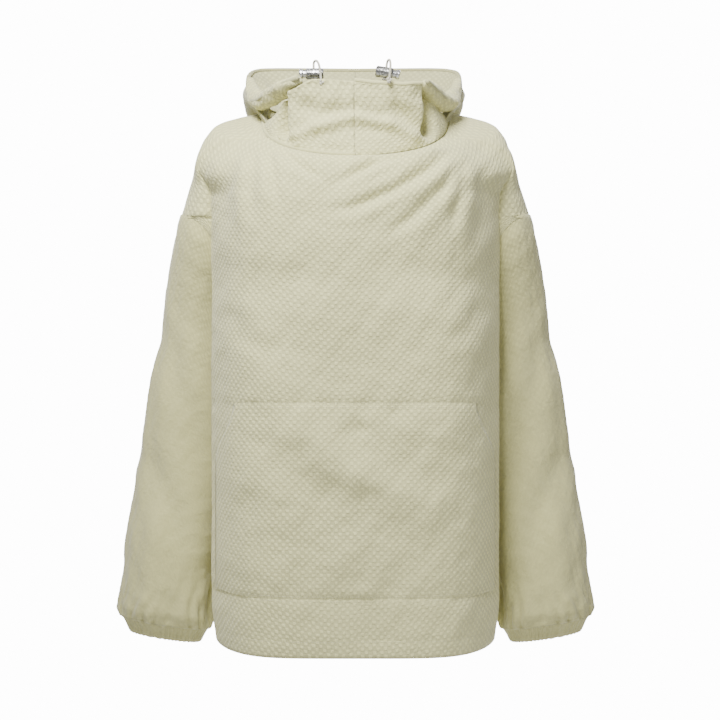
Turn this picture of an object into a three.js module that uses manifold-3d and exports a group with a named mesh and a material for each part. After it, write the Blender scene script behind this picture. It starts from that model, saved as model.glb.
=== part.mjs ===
// Hooded pullover smock, standing as if worn. Millimetres, +Z up, front towards -Y, wearer's left at +X.
// The origin is the centre of the neck opening, level with the shoulder-neck points.
import * as THREE from 'three';
import { mergeVertices } from 'three/addons/utils/BufferGeometryUtils.js';
import Module from 'manifold-3d';

const wasm = await Module();
wasm.setup();

// Cloth and clearances
const CLOTH = 2;
const LAYER_GAP = 0.6;
const SEAM_GAP = 0.5;

// Body
const HEM_Z = -693;
const BODY_HALF_WIDTH = 188;
const BACK_HALF_WIDTH = 148;
const BACK_HALF_WIDTH_AT_HEM = 176;
const FRONT_DEPTH = 135;
const BACK_DEPTH = 122;
const EDGE_Y = -26;
const BACK_EDGE_Y = 84;
const SEAM_Y = 22;
const FACE_CURVE = 0.9;
const FACE_POWER = 8;
const SIDE_TUCK = 38;
const TUCK_END_Z = -640;
const TUCK_START_Z = -372;
const HEM_FLARE = 2;
const HEM_FLARE_FALL = 40;

// Neck and shoulders
const NECK_HALF_WIDTH = 112;
const NECK_FRONT_Y = -108;
const NECK_FRONT_Z = -64;
const NECK_BACK_Y = 62;
const NECK_BACK_Z = 8;
const NECK_SIDE_Z = 14;
const NECK_REACH_CURVE = 0.8;
const NECK_DROP_CURVE = 1.3;
const CAP_HALF_WIDTH = 236;
const CAP_END_Z = -133;
const ARMPIT_Z = -246;

// Sleeves
const SLEEVE_TOP_Y = 29;
const SLEEVE_Y = 52;
const SLEEVE_Y_FALL = 150;
const SLEEVE_FORWARD = 30;
const SLEEVE_FORWARD_Z = -420;
const SLEEVE_FORWARD_FALL = 240;
const SLEEVE_TAPER = 8;
const SLEEVE_GATHER = 26;
const SLEEVE_HALF_DEPTH = 58;
const SLEEVE_TOP_OUT = 238;
const SLEEVE_SPREAD = 0.2;
const SLEEVE_BEND = 0.00008;
const SLEEVE_END_Z = -664;
const CUFF_END_Z = -686;
const CUFF_X = 256;
const CUFF_HALF_WIDTH = 48;
const CUFF_HALF_DEPTH = 30;
const CUFF_TILT = 0.16;
const ELASTIC_THICKNESS = 1.2;
const ELASTIC_INSET = 3;

// Pocket and hem
const POCKET_TOP_Z = -374;
const POCKET_BOTTOM_Z = -634;
const POCKET_HALF_WIDTH = 153;
const POCKET_STAND = 16;
const POCKET_GAPE = 25;
const HEM_BAND = 22;
const FOLD_DEPTH = 5;
const FOLD_CLOTH = 1;
const FOLD_RISE = 2;

// Collar and hood
const COLLAR_HALF_WIDTH = 90;
const COLLAR_FRONT_Y = -100;
const COLLAR_TOP_Z = 24;
const COLLAR_WAIST = 5;
const COLLAR_FOOT_RISE = 2.6;
const COLLAR_FOOT_SCALE = 0.985;
const COLLAR_WIDTH_CURVE = 0.8;
const COLLAR_REACH_CURVE = 0.7;
const HOOD_HALF_WIDTH = 152;
const HOOD_FRONT_HALF_WIDTH = 128;
const HOOD_RIM_Y = 122;
const HOOD_RIM_Z = 90;
const HOOD_SIDE_Z = 72;
const HOOD_BOTTOM_Z = -98;
const HOOD_FRONT_Y = 27;
const HOOD_BAG_Y = 170;
const HOOD_BAG_Z = -20;
const HOOD_BOTTOM_Y = 146;
const CASING_RADIUS = 4;
const CASING_BORE = 2.4;
const CORD_RADIUS = 1.5;

// Cord locks: the wearer's left lock leans outwards
const LEFT_LOCK = { x: 36, lean: 0.16, sign: 1 };
const RIGHT_LOCK = { x: -53, lean: 0, sign: -1 };
const LOCK_RISE = 14.5;
const LOCK_RADIUS = 7.2;
const LOCK_BACK = 12.5;
const LOCK_FRONT = 9.5;
const LOCK_BORE = 5.2;
const LOCK_FLOOR = 2.5;
const PLUNGER_RADIUS = 4.9;
const PLUNGER_FOOT = -3.6;
const BUTTON_RADIUS = 6.3;
const BUTTON_LENGTH = 5;
const PLUNGER_TRAVEL = 3.5;
const CORD_HOLE = 2.3;

const FABRIC = 0xcbc9ae;
const HOOD_FABRIC = 0xc7c4af;
const CORD_COLOUR = 0xd6d3c0;
const LOCK_GREY = 0x8c8d8c;
const METAL = 0xb9bbbd;

const clamp01 = (t) => Math.min(1, Math.max(0, t));
const mix = (a, b, t) => a + (b - a) * t;
const smooth = (t) => clamp01(t) ** 2 * (3 - 2 * clamp01(t));

// ---------------------------------------------------------------- solids

// A sheet of cloth as one closed solid: a grid of points, thickened inwards along its normals.
// keep(i, j) says which cells exist; closed joins the last column to the first.
function sheet(surface, columns, rows, { closed = false, keep = () => true, thickness = CLOTH } = {}) {
  const across = closed ? columns : columns + 1;
  const point = (i, j) => surface(((closed ? (i + columns) % columns : i)) / columns, j / rows);
  const outer = [];
  const inner = [];
  for (let j = 0; j <= rows; j++) {
    for (let i = 0; i < across; i++) {
      const before = point(closed ? i - 1 : Math.max(i - 1, 0), j);
      const after = point(closed ? i + 1 : Math.min(i + 1, columns), j);
      const below = point(i, Math.max(j - 1, 0));
      const above = point(i, Math.min(j + 1, rows));
      const normal = after.sub(before).cross(above.sub(below)).normalize();
      const here = point(i, j);
      outer.push(here);
      inner.push(here.clone().addScaledVector(normal, -thickness));
    }
  }
  const count = outer.length;
  const id = (i, j) => j * across + (closed ? (i + columns) % columns : i);
  const kept = (i, j) => j >= 0 && j < rows && (closed || (i >= 0 && i < columns)) &&
    keep(closed ? (i + columns) % columns : i, j);
  const faces = [];
  const quad = (a, b, c, d) => faces.push(a, b, c, a, c, d);
  for (let j = 0; j < rows; j++) {
    for (let i = 0; i < columns; i++) {
      if (!kept(i, j)) continue;
      const [a, b, c, d] = [id(i, j), id(i + 1, j), id(i + 1, j + 1), id(i, j + 1)];
      quad(a, b, c, d);
      quad(d + count, c + count, b + count, a + count);
      if (!kept(i, j - 1)) quad(b, a, a + count, b + count);
      if (!kept(i, j + 1)) quad(d, c, c + count, d + count);
      if (!kept(i - 1, j)) quad(a, d, d + count, a + count);
      if (!kept(i + 1, j)) quad(c, b, b + count, c + count);
    }
  }
  return meshGeometry([...outer, ...inner], faces);
}

// Points and triangles as a geometry whose faces point out.
function meshGeometry(points, faces) {
  const geometry = new THREE.BufferGeometry().setFromPoints(points);
  let volume = 0;
  for (let k = 0; k < faces.length; k += 3) {
    const [a, b, c] = faces.slice(k, k + 3).map((n) => points[n]);
    volume += a.dot(b.clone().cross(c));
  }
  geometry.setIndex(volume > 0 ? faces : faces.reverse());
  return mergeUnused(geometry);
}

function mergeUnused(geometry) {
  const loose = geometry.toNonIndexed();
  loose.deleteAttribute('normal');
  loose.deleteAttribute('uv');
  return mergeVertices(loose, 1e-4);
}

function toSolid(geometry) {
  const merged = mergeUnused(geometry.index ? geometry : mergeVertices(geometry));
  return new wasm.Manifold(new wasm.Mesh({
    numProp: 3,
    vertProperties: Float32Array.from(merged.attributes.position.array),
    triVerts: Uint32Array.from(merged.index.array),
  }));
}

function toGeometry(solid) {
  const mesh = solid.getMesh();
  const geometry = new THREE.BufferGeometry();
  geometry.setAttribute('position', new THREE.BufferAttribute(mesh.vertProperties, 3));
  geometry.setIndex(new THREE.BufferAttribute(mesh.triVerts, 1));
  return geometry;
}

function cord(points, radius = CORD_RADIUS, sides = 8, step = 8) {
  const path = new THREE.CatmullRomCurve3(points.map((p) => new THREE.Vector3(...p)), false, 'centripetal');
  const outline = new THREE.Shape().absarc(0, 0, radius, 0, Math.PI * 2);
  const steps = Math.ceil(path.getLength() / step);
  return new THREE.ExtrudeGeometry(outline, { steps, curveSegments: sides / 2, extrudePath: path });
}

function named(name, geometry, color, roughness = 0.9, metalness = 0) {
  const mesh = new THREE.Mesh(geometry, new THREE.MeshStandardMaterial({ color, roughness, metalness }));
  mesh.name = name;
  return mesh;
}

// ---------------------------------------------------------------- body

const neckline = (side, front) => {
  const angle = side * Math.PI / 2;
  const forward = Math.cos(angle);
  const reach = front ? NECK_FRONT_Y : NECK_BACK_Y;
  const drop = front ? NECK_FRONT_Z : NECK_BACK_Z;
  return new THREE.Vector3(
    NECK_HALF_WIDTH * Math.sin(angle),
    mix(SEAM_Y, reach, forward ** NECK_REACH_CURVE),
    mix(NECK_SIDE_Z, drop, forward ** NECK_DROP_CURVE),
  );
};

const sideTuck = (z) => SIDE_TUCK * (1 - smooth((TUCK_START_Z - z) / (TUCK_START_Z - TUCK_END_Z)));
const seamX = (z) => BODY_HALF_WIDTH - sideTuck(z) + HEM_FLARE * clamp01((TUCK_END_Z - z) / HEM_FLARE_FALL);
const tucked = (z) => sideTuck(z) / SIDE_TUCK;
const faceHalfWidth = (front, z) => (front ? BODY_HALF_WIDTH :
  mix(BACK_HALF_WIDTH_AT_HEM, BACK_HALF_WIDTH, tucked(z)));

// A point of the body's surface. side runs -1..1 between the side seams; FACE of it is the flat face.
const FACE = 0.75;
function bodyRing(side, z, front, cap) {
  const width = faceHalfWidth(front, z);
  const t = Math.min(1, Math.abs(side) / FACE);
  const edgeY = front ? EDGE_Y : BACK_EDGE_Y;
  const depth = front ? -FRONT_DEPTH : BACK_DEPTH;
  const reach = Math.sin(t * Math.PI / 2) ** FACE_CURVE;
  let x = width * reach;
  let y = mix(depth, edgeY, reach ** FACE_POWER);
  const wrap = clamp01((Math.abs(side) - FACE) / (1 - FACE));
  if (wrap > 0 && cap) {
    x = mix(width, CAP_HALF_WIDTH, Math.sin(wrap * Math.PI / 2));
    y = mix(edgeY, SEAM_Y, 1 - Math.cos(wrap * Math.PI / 2));
  } else if (wrap > 0) {
    x = mix(width, seamX(z), smooth(wrap));
    y = mix(edgeY, SEAM_Y + (front ? -1 : 1) * LAYER_GAP, wrap);
  }
  return new THREE.Vector3(Math.sign(side) * x, y, z);
}

const CAP_ROWS = 6;
const HOLE_ROWS = 3;
const BODY_ROWS = 16;
const BODY_COLUMNS = 24;
const WRAP_COLUMNS = BODY_COLUMNS * (1 - FACE) / 2;

// The armhole runs from the end of the shoulder cap down to the armpit.
const armhole = (i, j) => j >= CAP_ROWS && j < CAP_ROWS + HOLE_ROWS &&
  (i < WRAP_COLUMNS || i >= BODY_COLUMNS - WRAP_COLUMNS);

function bodyRowZ(row) {
  if (row <= CAP_ROWS) return CAP_END_Z;
  if (row <= CAP_ROWS + HOLE_ROWS) return mix(CAP_END_Z, ARMPIT_Z, (row - CAP_ROWS) / HOLE_ROWS);
  const panelEnd = HEM_Z + HEM_BAND + SEAM_GAP;
  return mix(ARMPIT_Z, panelEnd, (row - CAP_ROWS - HOLE_ROWS) / (BODY_ROWS - CAP_ROWS - HOLE_ROWS));
}

function bodySurface(front) {
  return (u, v) => {
    const side = u * 2 - 1;
    const row = v * BODY_ROWS;
    const z = bodyRowZ(row);
    const cap = row <= CAP_ROWS + 0.5;
    const ring = bodyRing(side, z, front, cap);
    if (row < CAP_ROWS) {
      const down = (row / CAP_ROWS) * Math.PI / 2;
      const neck = neckline(side, front);
      const seam = (front ? -1 : 1) * LAYER_GAP * smooth((Math.abs(side) - 0.9) / 0.1);
      ring.set(
        mix(neck.x, ring.x, Math.sin(down)),
        mix(neck.y, ring.y, Math.sin(down)) + seam,
        mix(neck.z, ring.z, 1 - Math.cos(down)),
      );
    }
    return ring;
  };
}

const smock = new THREE.Group();
smock.add(named('front_panel', sheet(bodySurface(true), BODY_COLUMNS, BODY_ROWS,
  { keep: (i, j) => !armhole(i, j) }), FABRIC));
smock.add(named('back_panel', sheet((u, v) => bodySurface(false)(1 - u, v), BODY_COLUMNS, BODY_ROWS,
  { keep: (i, j) => !armhole(i, j) }), FABRIC));

// A closed loop round the body at one height, u 0..1.
function bodyLoop(u, z) {
  const front = u < 0.5;
  const side = front ? u * 4 - 1 : 3 - u * 4;
  const p = bodyRing(side, z, front, false);
  if (Math.abs(side) > 0.999) p.y = SEAM_Y;
  return p;
}

// A folded strip round a loop: down the outside, across the fold and up the inside.
function foldedBand(loop, top, bottom, columns, tilt = () => 0) {
  const centre = new THREE.Vector3();
  for (let k = 0; k < columns; k++) centre.addScaledVector(loop(k / columns, top), 1 / columns);
  const profile = [[0, top], [0, bottom], [FOLD_DEPTH, bottom], [FOLD_DEPTH, top - FOLD_RISE]];
  const surface = (u, v) => {
    const [inset, z] = profile[Math.round(v * 3)];
    const p = loop(u, z);
    const reach = Math.hypot(p.x - centre.x, p.y - centre.y);
    const scale = (reach - inset) / reach;
    p.set(mix(centre.x, p.x, scale), mix(centre.y, p.y, scale), z);
    p.z += tilt(p.x);
    return p;
  };
  return sheet(surface, columns, 3, { closed: true, thickness: FOLD_CLOTH });
}

smock.add(named('hem_band', foldedBand(bodyLoop, HEM_Z + HEM_BAND, HEM_Z, 40), FABRIC));

// The pocket lies on the front panel along its top and bottom edges and stands off it between them.
function pocketSurface(u, v) {
  const x = mix(-POCKET_HALF_WIDTH, POCKET_HALF_WIDTH, u);
  const edge = Math.min(v, 1 - v) * 2;
  const stand = mix(CLOTH + 2, POCKET_STAND + CLOTH, smooth(edge * 4));
  const t = Math.abs(x) / (BODY_HALF_WIDTH + POCKET_GAPE * smooth(edge * 4));
  const y = mix(-FRONT_DEPTH, EDGE_Y, t ** FACE_POWER);
  return new THREE.Vector3(x, y - stand, mix(POCKET_TOP_Z, POCKET_BOTTOM_Z, v));
}
smock.add(named('pocket', sheet(pocketSurface, 14, 12), FABRIC));

// ---------------------------------------------------------------- sleeves

const sleeveOut = (z) => {
  const down = CAP_END_Z - z;
  return SLEEVE_TOP_OUT + SLEEVE_SPREAD * down - SLEEVE_BEND * down * down;
};
const sleeveIn = (z) => seamX(z) + 7;
const forward = (z) => smooth((SLEEVE_FORWARD_Z - z) / SLEEVE_FORWARD_FALL);
const sleeveY = (z) =>
  mix(SLEEVE_TOP_Y, SLEEVE_Y, smooth((CAP_END_Z - z) / SLEEVE_Y_FALL)) - SLEEVE_FORWARD * forward(z);

// A point of the sleeve's section at one height. The angle is 0 on the outside.
function sleeveSection(angle, z) {
  const gather = smooth((z - SLEEVE_END_Z) / SLEEVE_GATHER);
  const x = mix(CUFF_X, (sleeveOut(z) + sleeveIn(z)) / 2, gather);
  const halfWidth = mix(CUFF_HALF_WIDTH, (sleeveOut(z) - sleeveIn(z)) / 2, gather);
  const halfDepth = mix(CUFF_HALF_DEPTH, SLEEVE_HALF_DEPTH - SLEEVE_TAPER * forward(z), gather);
  return new THREE.Vector3(x + halfWidth * Math.cos(angle), sleeveY(z) - halfDepth * Math.sin(angle), z);
}

const cuffTilt = (x) => CUFF_TILT * (Math.abs(x) - CUFF_X);

function sleeveSurface(u, v) {
  const angle = u * Math.PI * 2;
  const inward = (1 - Math.cos(angle)) / 2;
  const top = mix(CAP_END_Z - 2, ARMPIT_Z - 3, inward ** 3);
  const p = sleeveSection(angle, mix(top, SLEEVE_END_Z, v));
  p.z += cuffTilt(p.x) * smooth(v * 8 - 7);
  return p;
}

function cuffLoop(u) {
  const angle = u * Math.PI * 2;
  return new THREE.Vector3(
    CUFF_X + CUFF_HALF_WIDTH * Math.cos(angle),
    sleeveY(SLEEVE_END_Z) - CUFF_HALF_DEPTH * Math.sin(angle),
    0,
  );
}

function elasticRing() {
  const mid = FOLD_CLOTH + LAYER_GAP;
  const surface = (u, v) => {
    const p = cuffLoop(u);
    const reach = Math.hypot(p.x - CUFF_X, p.y - sleeveY(SLEEVE_END_Z));
    p.lerp(new THREE.Vector3(CUFF_X, sleeveY(SLEEVE_END_Z), 0), mid / reach);
    p.z = mix(SLEEVE_END_Z - ELASTIC_INSET, CUFF_END_Z + ELASTIC_INSET, v) + cuffTilt(p.x);
    return p;
  };
  return sheet(surface, 24, 1, { closed: true, thickness: ELASTIC_THICKNESS });
}

function mirrored(geometry) {
  const copy = geometry.clone();
  copy.scale(-1, 1, 1);
  const index = Array.from(copy.index.array);
  copy.setIndex(index.reverse());
  return copy;
}

const sleeve = sheet(sleeveSurface, 20, 13, { closed: true });
const cuff = foldedBand(cuffLoop, SLEEVE_END_Z - SEAM_GAP, CUFF_END_Z, 24, cuffTilt);
const elastic = elasticRing();
for (const [name, place] of [['left', (g) => g], ['right', mirrored]]) {
  smock.add(named(`${name}_sleeve`, place(sleeve), FABRIC));
  smock.add(named(`${name}_cuff`, place(cuff), FABRIC));
  smock.add(named(`${name}_cuff_elastic`, place(elastic), CORD_COLOUR));
}

// ---------------------------------------------------------------- collar

function collarTop(turn) {
  const angle = turn * Math.PI / 2;
  return new THREE.Vector3(
    COLLAR_HALF_WIDTH * Math.sin(angle) ** COLLAR_WIDTH_CURVE,
    mix(SEAM_Y - 2, COLLAR_FRONT_Y, Math.cos(angle) ** COLLAR_REACH_CURVE),
    COLLAR_TOP_Z,
  );
}

// turn runs 0 at the centre front to 1 at the shoulder-neck point.
function collarSurface(u, v) {
  const turn = mix(0.004, 0.97, u);
  const foot = neckline(turn, true);
  foot.z += COLLAR_FOOT_RISE;
  foot.multiply(new THREE.Vector3(COLLAR_FOOT_SCALE, COLLAR_FOOT_SCALE, 1));
  const head = collarTop(turn);
  const p = foot.clone().lerp(head, v);
  const waist = COLLAR_WAIST * Math.sin(v * Math.PI);
  p.y += waist * Math.cos(turn * Math.PI / 2);
  return p;
}

function ringTube(path, steps, outer, bore) {
  const outline = new THREE.Shape().absarc(0, 0, outer, 0, Math.PI * 2);
  outline.holes.push(new THREE.Path().absarc(0, 0, bore, 0, Math.PI * 2));
  return new THREE.ExtrudeGeometry(outline, { steps, curveSegments: 5, extrudePath: path });
}

// The rim casing stands on the collar's top edge.
function collarRim(from, to) {
  const points = [];
  for (let k = 0; k <= 10; k++) {
    const p = collarTop(mix(from, to, k / 10));
    p.z += CASING_RADIUS + SEAM_GAP;
    p.y += CLOTH / 2;
    points.push(p);
  }
  return new THREE.CatmullRomCurve3(points);
}

const collar = sheet(collarSurface, 9, 7);
const rimPath = collarRim(0.006, 0.93);

// Where the collar's top edge passes a given distance from the centre.
const turnAt = (x) => Math.asin((Math.abs(x) / COLLAR_HALF_WIDTH) ** (1 / COLLAR_WIDTH_CURVE)) * 2 / Math.PI;

function rimPoint(x) {
  const p = collarTop(turnAt(x));
  p.z += CASING_RADIUS + SEAM_GAP;
  p.y += CLOTH / 2;
  p.x = x;
  return p;
}

const tube = (radius, length, sides = 16) => new THREE.CylinderGeometry(radius, radius, length, sides);

// Turns a piece made along +Z to its lock's lean and puts it at the lock's place on the rim.
function atLock(geometry, lock) {
  geometry.rotateY(lock.lean);
  const p = rimPoint(lock.x);
  geometry.translate(p.x, p.y, p.z);
  return geometry;
}

function collarCasing(lock, flip) {
  const casing = toSolid(flip(ringTube(rimPath, 14, CASING_RADIUS, CASING_BORE)));
  const hole = tube(CORD_HOLE, 8, 10);
  hole.rotateX(Math.PI / 2);
  hole.translate(0, 0, 4.5);
  return toGeometry(casing.subtract(toSolid(atLock(hole, lock))));
}

// The eyelet lines the cord's hole in the casing.
function eyelet(lock) {
  const rise = CASING_RADIUS + 1;
  const profile = [
    [CORD_RADIUS + 0.35, rise],
    [CORD_RADIUS + 1.9, rise],
    [CORD_RADIUS + 1.9, rise + 0.8],
    [CORD_RADIUS + 0.35, rise + 1.1],
    [CORD_RADIUS + 0.35, rise],
  ].map(([r, z]) => new THREE.Vector2(r, z));
  const ring = new THREE.LatheGeometry(profile, 12);
  ring.rotateX(Math.PI / 2);
  return atLock(ring, lock);
}

// ---------------------------------------------------------------- cord locks

// A solid of revolution about X, from points of [along, radius].
function turned(points, sides = 16) {
  const geometry = new THREE.LatheGeometry(points.map(([along, r]) => new THREE.Vector2(r, along)), sides);
  geometry.rotateZ(-Math.PI / 2);
  return geometry;
}

function crossHole(x, radius) {
  const hole = tube(radius, 40, 12);
  hole.rotateX(Math.PI / 2);
  hole.translate(x, 0, LOCK_RISE);
  return hole;
}

function inLock(geometry, sign) {
  geometry.translate(0, 0, LOCK_RISE);
  return sign > 0 ? geometry : mirrored(indexed(geometry));
}

const indexed = (geometry) => mergeUnused(geometry.index ? geometry : mergeVertices(geometry));

// The barrel is a cup, open towards its plunger, with the cord's hole across it.
function lockBarrel(lock) {
  const shell = turned([
    [-LOCK_BACK, 0], [-LOCK_BACK, LOCK_RADIUS - 1.6], [-LOCK_BACK + 1.6, LOCK_RADIUS],
    [LOCK_FRONT - 1, LOCK_RADIUS], [LOCK_FRONT, LOCK_RADIUS - 1], [LOCK_FRONT, LOCK_BORE],
    [LOCK_FLOOR - LOCK_BACK, LOCK_BORE], [LOCK_FLOOR - LOCK_BACK, 0],
  ]);
  const solid = toSolid(inLock(shell, lock.sign)).subtract(toSolid(crossHole(0, CORD_HOLE)));
  return atLock(toGeometry(solid), lock);
}

// The plunger: a stem in the barrel, a slot that the cord passes through, and a button to press.
function lockPlunger(lock) {
  const end = LOCK_FRONT + PLUNGER_TRAVEL + 0.6;
  const shell = turned([
    [PLUNGER_FOOT, 0], [PLUNGER_FOOT, PLUNGER_RADIUS], [end, PLUNGER_RADIUS], [end, BUTTON_RADIUS - 0.8],
    [end + 0.8, BUTTON_RADIUS], [end + BUTTON_LENGTH - 1.4, BUTTON_RADIUS],
    [end + BUTTON_LENGTH, BUTTON_RADIUS - 1.8], [end + BUTTON_LENGTH, 0],
  ]);
  const stem = toSolid(inLock(shell, lock.sign));
  const slotEnds = [0, PLUNGER_TRAVEL].map((x) => toSolid(crossHole(x * lock.sign, CORD_HOLE)));
  const slotMid = new THREE.BoxGeometry(PLUNGER_TRAVEL, CORD_HOLE * 2 * Math.cos(Math.PI / 12), 40);
  slotMid.translate(lock.sign * PLUNGER_TRAVEL / 2, 0, LOCK_RISE);
  const slot = slotEnds[0].add(slotEnds[1]).add(toSolid(slotMid));
  return atLock(toGeometry(stem.subtract(slot)), lock);
}

class Helix extends THREE.Curve {
  constructor(radius, length, turns) {
    super();
    Object.assign(this, { radius, length, turns });
  }

  getPoint(t) {
    const angle = t * this.turns * Math.PI * 2;
    return new THREE.Vector3(t * this.length, this.radius * Math.cos(angle), this.radius * Math.sin(angle));
  }
}

function lockSpring(lock) {
  const start = LOCK_FLOOR - LOCK_BACK + 0.6;
  const wire = new THREE.Shape().absarc(0, 0, 0.45, 0, Math.PI * 2);
  const coil = new Helix(3.4, PLUNGER_FOOT - start - 0.6, 3);
  const geometry = new THREE.ExtrudeGeometry(wire, { steps: 30, curveSegments: 3, extrudePath: coil });
  geometry.translate(start, 0, 0);
  return atLock(inLock(indexed(geometry), lock.sign), lock);
}

// The cord's tail: out of the eyelet, through the lock and over to its knot.
const TAILS = {
  left: [[0, 0, 6.4], [0, 0, 14], [0, 0, 21], [0, 0, 27],
    [1, -1, 31], [5, -3, 35], [11, -5, 37], [17, -7, 37.5]],
  right: [[0, 0, 6.4], [0, 0, 14], [0, 0, 21], [0, 0, 27],
    [1, -1, 31], [6, -3, 34.5], [12, -5, 33], [16, -7, 28]],
};

function tail(side, lock) {
  return atLock(cord(TAILS[side], CORD_RADIUS, 8, 5), lock);
}

function knot(side, lock) {
  const end = new THREE.Vector3(...TAILS[side].at(-1));
  const before = new THREE.Vector3(...TAILS[side].at(-2));
  const centre = end.clone().add(end.clone().sub(before).setLength(3.3));
  const ball = new THREE.SphereGeometry(3, 10, 8);
  ball.translate(centre.x, centre.y, centre.z);
  return atLock(ball, lock);
}

for (const [side, lock, flip] of [['left', LEFT_LOCK, (g) => g], ['right', RIGHT_LOCK, mirrored]]) {
  smock.add(named(`${side}_collar`, flip(collar), FABRIC));
  smock.add(named(`${side}_collar_casing`, collarCasing(lock, (g) => flip(indexed(g))), FABRIC));
  smock.add(named(`${side}_eyelet`, eyelet(lock), METAL, 0.4, 1));
  smock.add(named(`${side}_lock_barrel`, lockBarrel(lock), LOCK_GREY, 0.35, 0.6));
  smock.add(named(`${side}_lock_plunger`, lockPlunger(lock), METAL, 0.35, 0.6));
  smock.add(named(`${side}_lock_spring`, lockSpring(lock), METAL, 0.4, 1));
  smock.add(named(`${side}_tail`, tail(side, lock), CORD_COLOUR));
  smock.add(named(`${side}_knot`, knot(side, lock), CORD_COLOUR));
}

// ---------------------------------------------------------------- hood

// The fallen hood is a bag behind the neck. turn runs 0 at the centre back to 1 beside the neck.
function hoodRim(turn) {
  const angle = turn * Math.PI / 2;
  const width = mix(HOOD_HALF_WIDTH, HOOD_FRONT_HALF_WIDTH, smooth((turn - 0.7) / 0.3));
  const x = width * Math.min(1, Math.sin(angle) ** 0.7);
  const y = mix(HOOD_FRONT_Y, HOOD_RIM_Y, Math.cos(angle) ** 0.45);
  return new THREE.Vector3(x, y, mix(HOOD_RIM_Z, HOOD_SIDE_Z, smooth((turn - 0.6) / 0.4)));
}

function hoodSurface(u, v) {
  const turn = mix(0.004, 1, u);
  const angle = turn * Math.PI / 2;
  const back = Math.cos(angle);
  const foot = neckline(turn, false);
  foot.add(new THREE.Vector3(3 * Math.sin(angle), 4, 5));
  const rim = hoodRim(turn);
  const bottom = new THREE.Vector3(
    mix(138, 118, back) * Math.sin(angle),
    mix(46, HOOD_BOTTOM_Y, back ** 0.5),
    mix(28, HOOD_BOTTOM_Z, back ** 1.2),
  );
  const bagY = mix(34, HOOD_BAG_Y, back ** 0.6);
  const outside = new THREE.Vector3(rim.x, bagY, mix(46, HOOD_BAG_Z, back ** 0.7));
  const inside = foot.clone().lerp(bottom, 0.5);
  inside.y += 16 * back ** 0.5;
  inside.z += 26 * back ** 0.7;
  const path = new THREE.CatmullRomCurve3([rim, outside, bottom, inside, foot], false, 'centripetal');
  return path.getPoint(v);
}

const hood = sheet(hoodSurface, 12, 14);
const hoodRimPath = new THREE.CatmullRomCurve3(Array.from({ length: 33 }, (_, k) => {
  const turn = k / 16 - 1;
  const p = hoodRim(Math.abs(turn) * 0.985);
  return new THREE.Vector3(Math.sign(turn) * p.x, p.y - 1, p.z + CASING_RADIUS + 2);
}));
const hoodCord = new THREE.Shape().absarc(0, 0, CORD_RADIUS, 0, Math.PI * 2);

smock.add(named('left_hood', hood, HOOD_FABRIC));
smock.add(named('right_hood', mirrored(hood), HOOD_FABRIC));
smock.add(named('hood_rim_casing', ringTube(hoodRimPath, 26, CASING_RADIUS, CASING_BORE), HOOD_FABRIC));
smock.add(named('hood_drawcord', new THREE.ExtrudeGeometry(hoodCord,
  { steps: 26, curveSegments: 4, extrudePath: hoodRimPath }), CORD_COLOUR));

// The tape that covers the neckline seam on the inside.
function neckTape(u, v) {
  const front = u < 0.5;
  const side = front ? u * 4 - 1 : 3 - u * 4;
  const p = neckline(side, front);
  const reach = Math.hypot(p.x, p.y - 5);
  p.x *= (reach - 5) / reach;
  p.y = 5 + (p.y - 5) * (reach - 5) / reach;
  p.z += mix(-2, -12, v);
  return p;
}
smock.add(named('neck_tape', sheet(neckTape, 32, 1, { closed: true, thickness: 1 }), FABRIC));

export default smock;
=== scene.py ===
"""Hooded pullover smock: its cloth, seams, cord locks and stage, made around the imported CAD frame."""
import math

import bmesh
import bpy
import numpy as np
from bpy.props import FloatProperty, FloatVectorProperty, PointerProperty
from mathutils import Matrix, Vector


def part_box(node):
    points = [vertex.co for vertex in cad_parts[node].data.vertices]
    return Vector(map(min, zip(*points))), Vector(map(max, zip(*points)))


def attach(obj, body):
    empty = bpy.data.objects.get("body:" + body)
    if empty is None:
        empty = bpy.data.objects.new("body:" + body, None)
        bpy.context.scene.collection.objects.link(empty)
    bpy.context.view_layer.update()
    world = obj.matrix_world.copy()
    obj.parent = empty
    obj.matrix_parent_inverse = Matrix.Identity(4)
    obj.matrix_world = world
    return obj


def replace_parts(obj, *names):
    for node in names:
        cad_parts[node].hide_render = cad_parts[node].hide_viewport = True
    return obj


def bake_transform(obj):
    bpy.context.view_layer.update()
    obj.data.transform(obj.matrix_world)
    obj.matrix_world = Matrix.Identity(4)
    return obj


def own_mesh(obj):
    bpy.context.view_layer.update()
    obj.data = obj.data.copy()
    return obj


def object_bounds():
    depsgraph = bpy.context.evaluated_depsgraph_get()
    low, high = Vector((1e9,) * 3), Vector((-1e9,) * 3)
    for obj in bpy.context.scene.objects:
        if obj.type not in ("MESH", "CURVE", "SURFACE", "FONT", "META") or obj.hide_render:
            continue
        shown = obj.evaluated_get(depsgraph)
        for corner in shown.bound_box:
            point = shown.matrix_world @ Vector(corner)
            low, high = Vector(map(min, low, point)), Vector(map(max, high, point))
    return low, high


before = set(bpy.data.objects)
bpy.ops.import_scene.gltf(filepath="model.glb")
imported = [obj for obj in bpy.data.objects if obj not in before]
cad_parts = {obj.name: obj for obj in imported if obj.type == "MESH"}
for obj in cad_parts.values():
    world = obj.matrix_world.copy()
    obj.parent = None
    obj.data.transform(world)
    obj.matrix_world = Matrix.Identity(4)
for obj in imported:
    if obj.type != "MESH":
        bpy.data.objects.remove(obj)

bl_info = {
    "name": "Hooded smock",
    "version": (1, 0, 0),
    "blender": (4, 5, 0),
    "location": "View3D > Sidebar > Smock",
    "description": "Builds a loose hooded pullover smock of blister-weave cloth",
    "category": "Object",
}

MM = 0.001
CAD_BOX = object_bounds()


def millimetres(node):
    """A node's lowest and highest corners in millimetres."""
    low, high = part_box(node)
    return np.array(low) / MM, np.array(high) / MM


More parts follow.
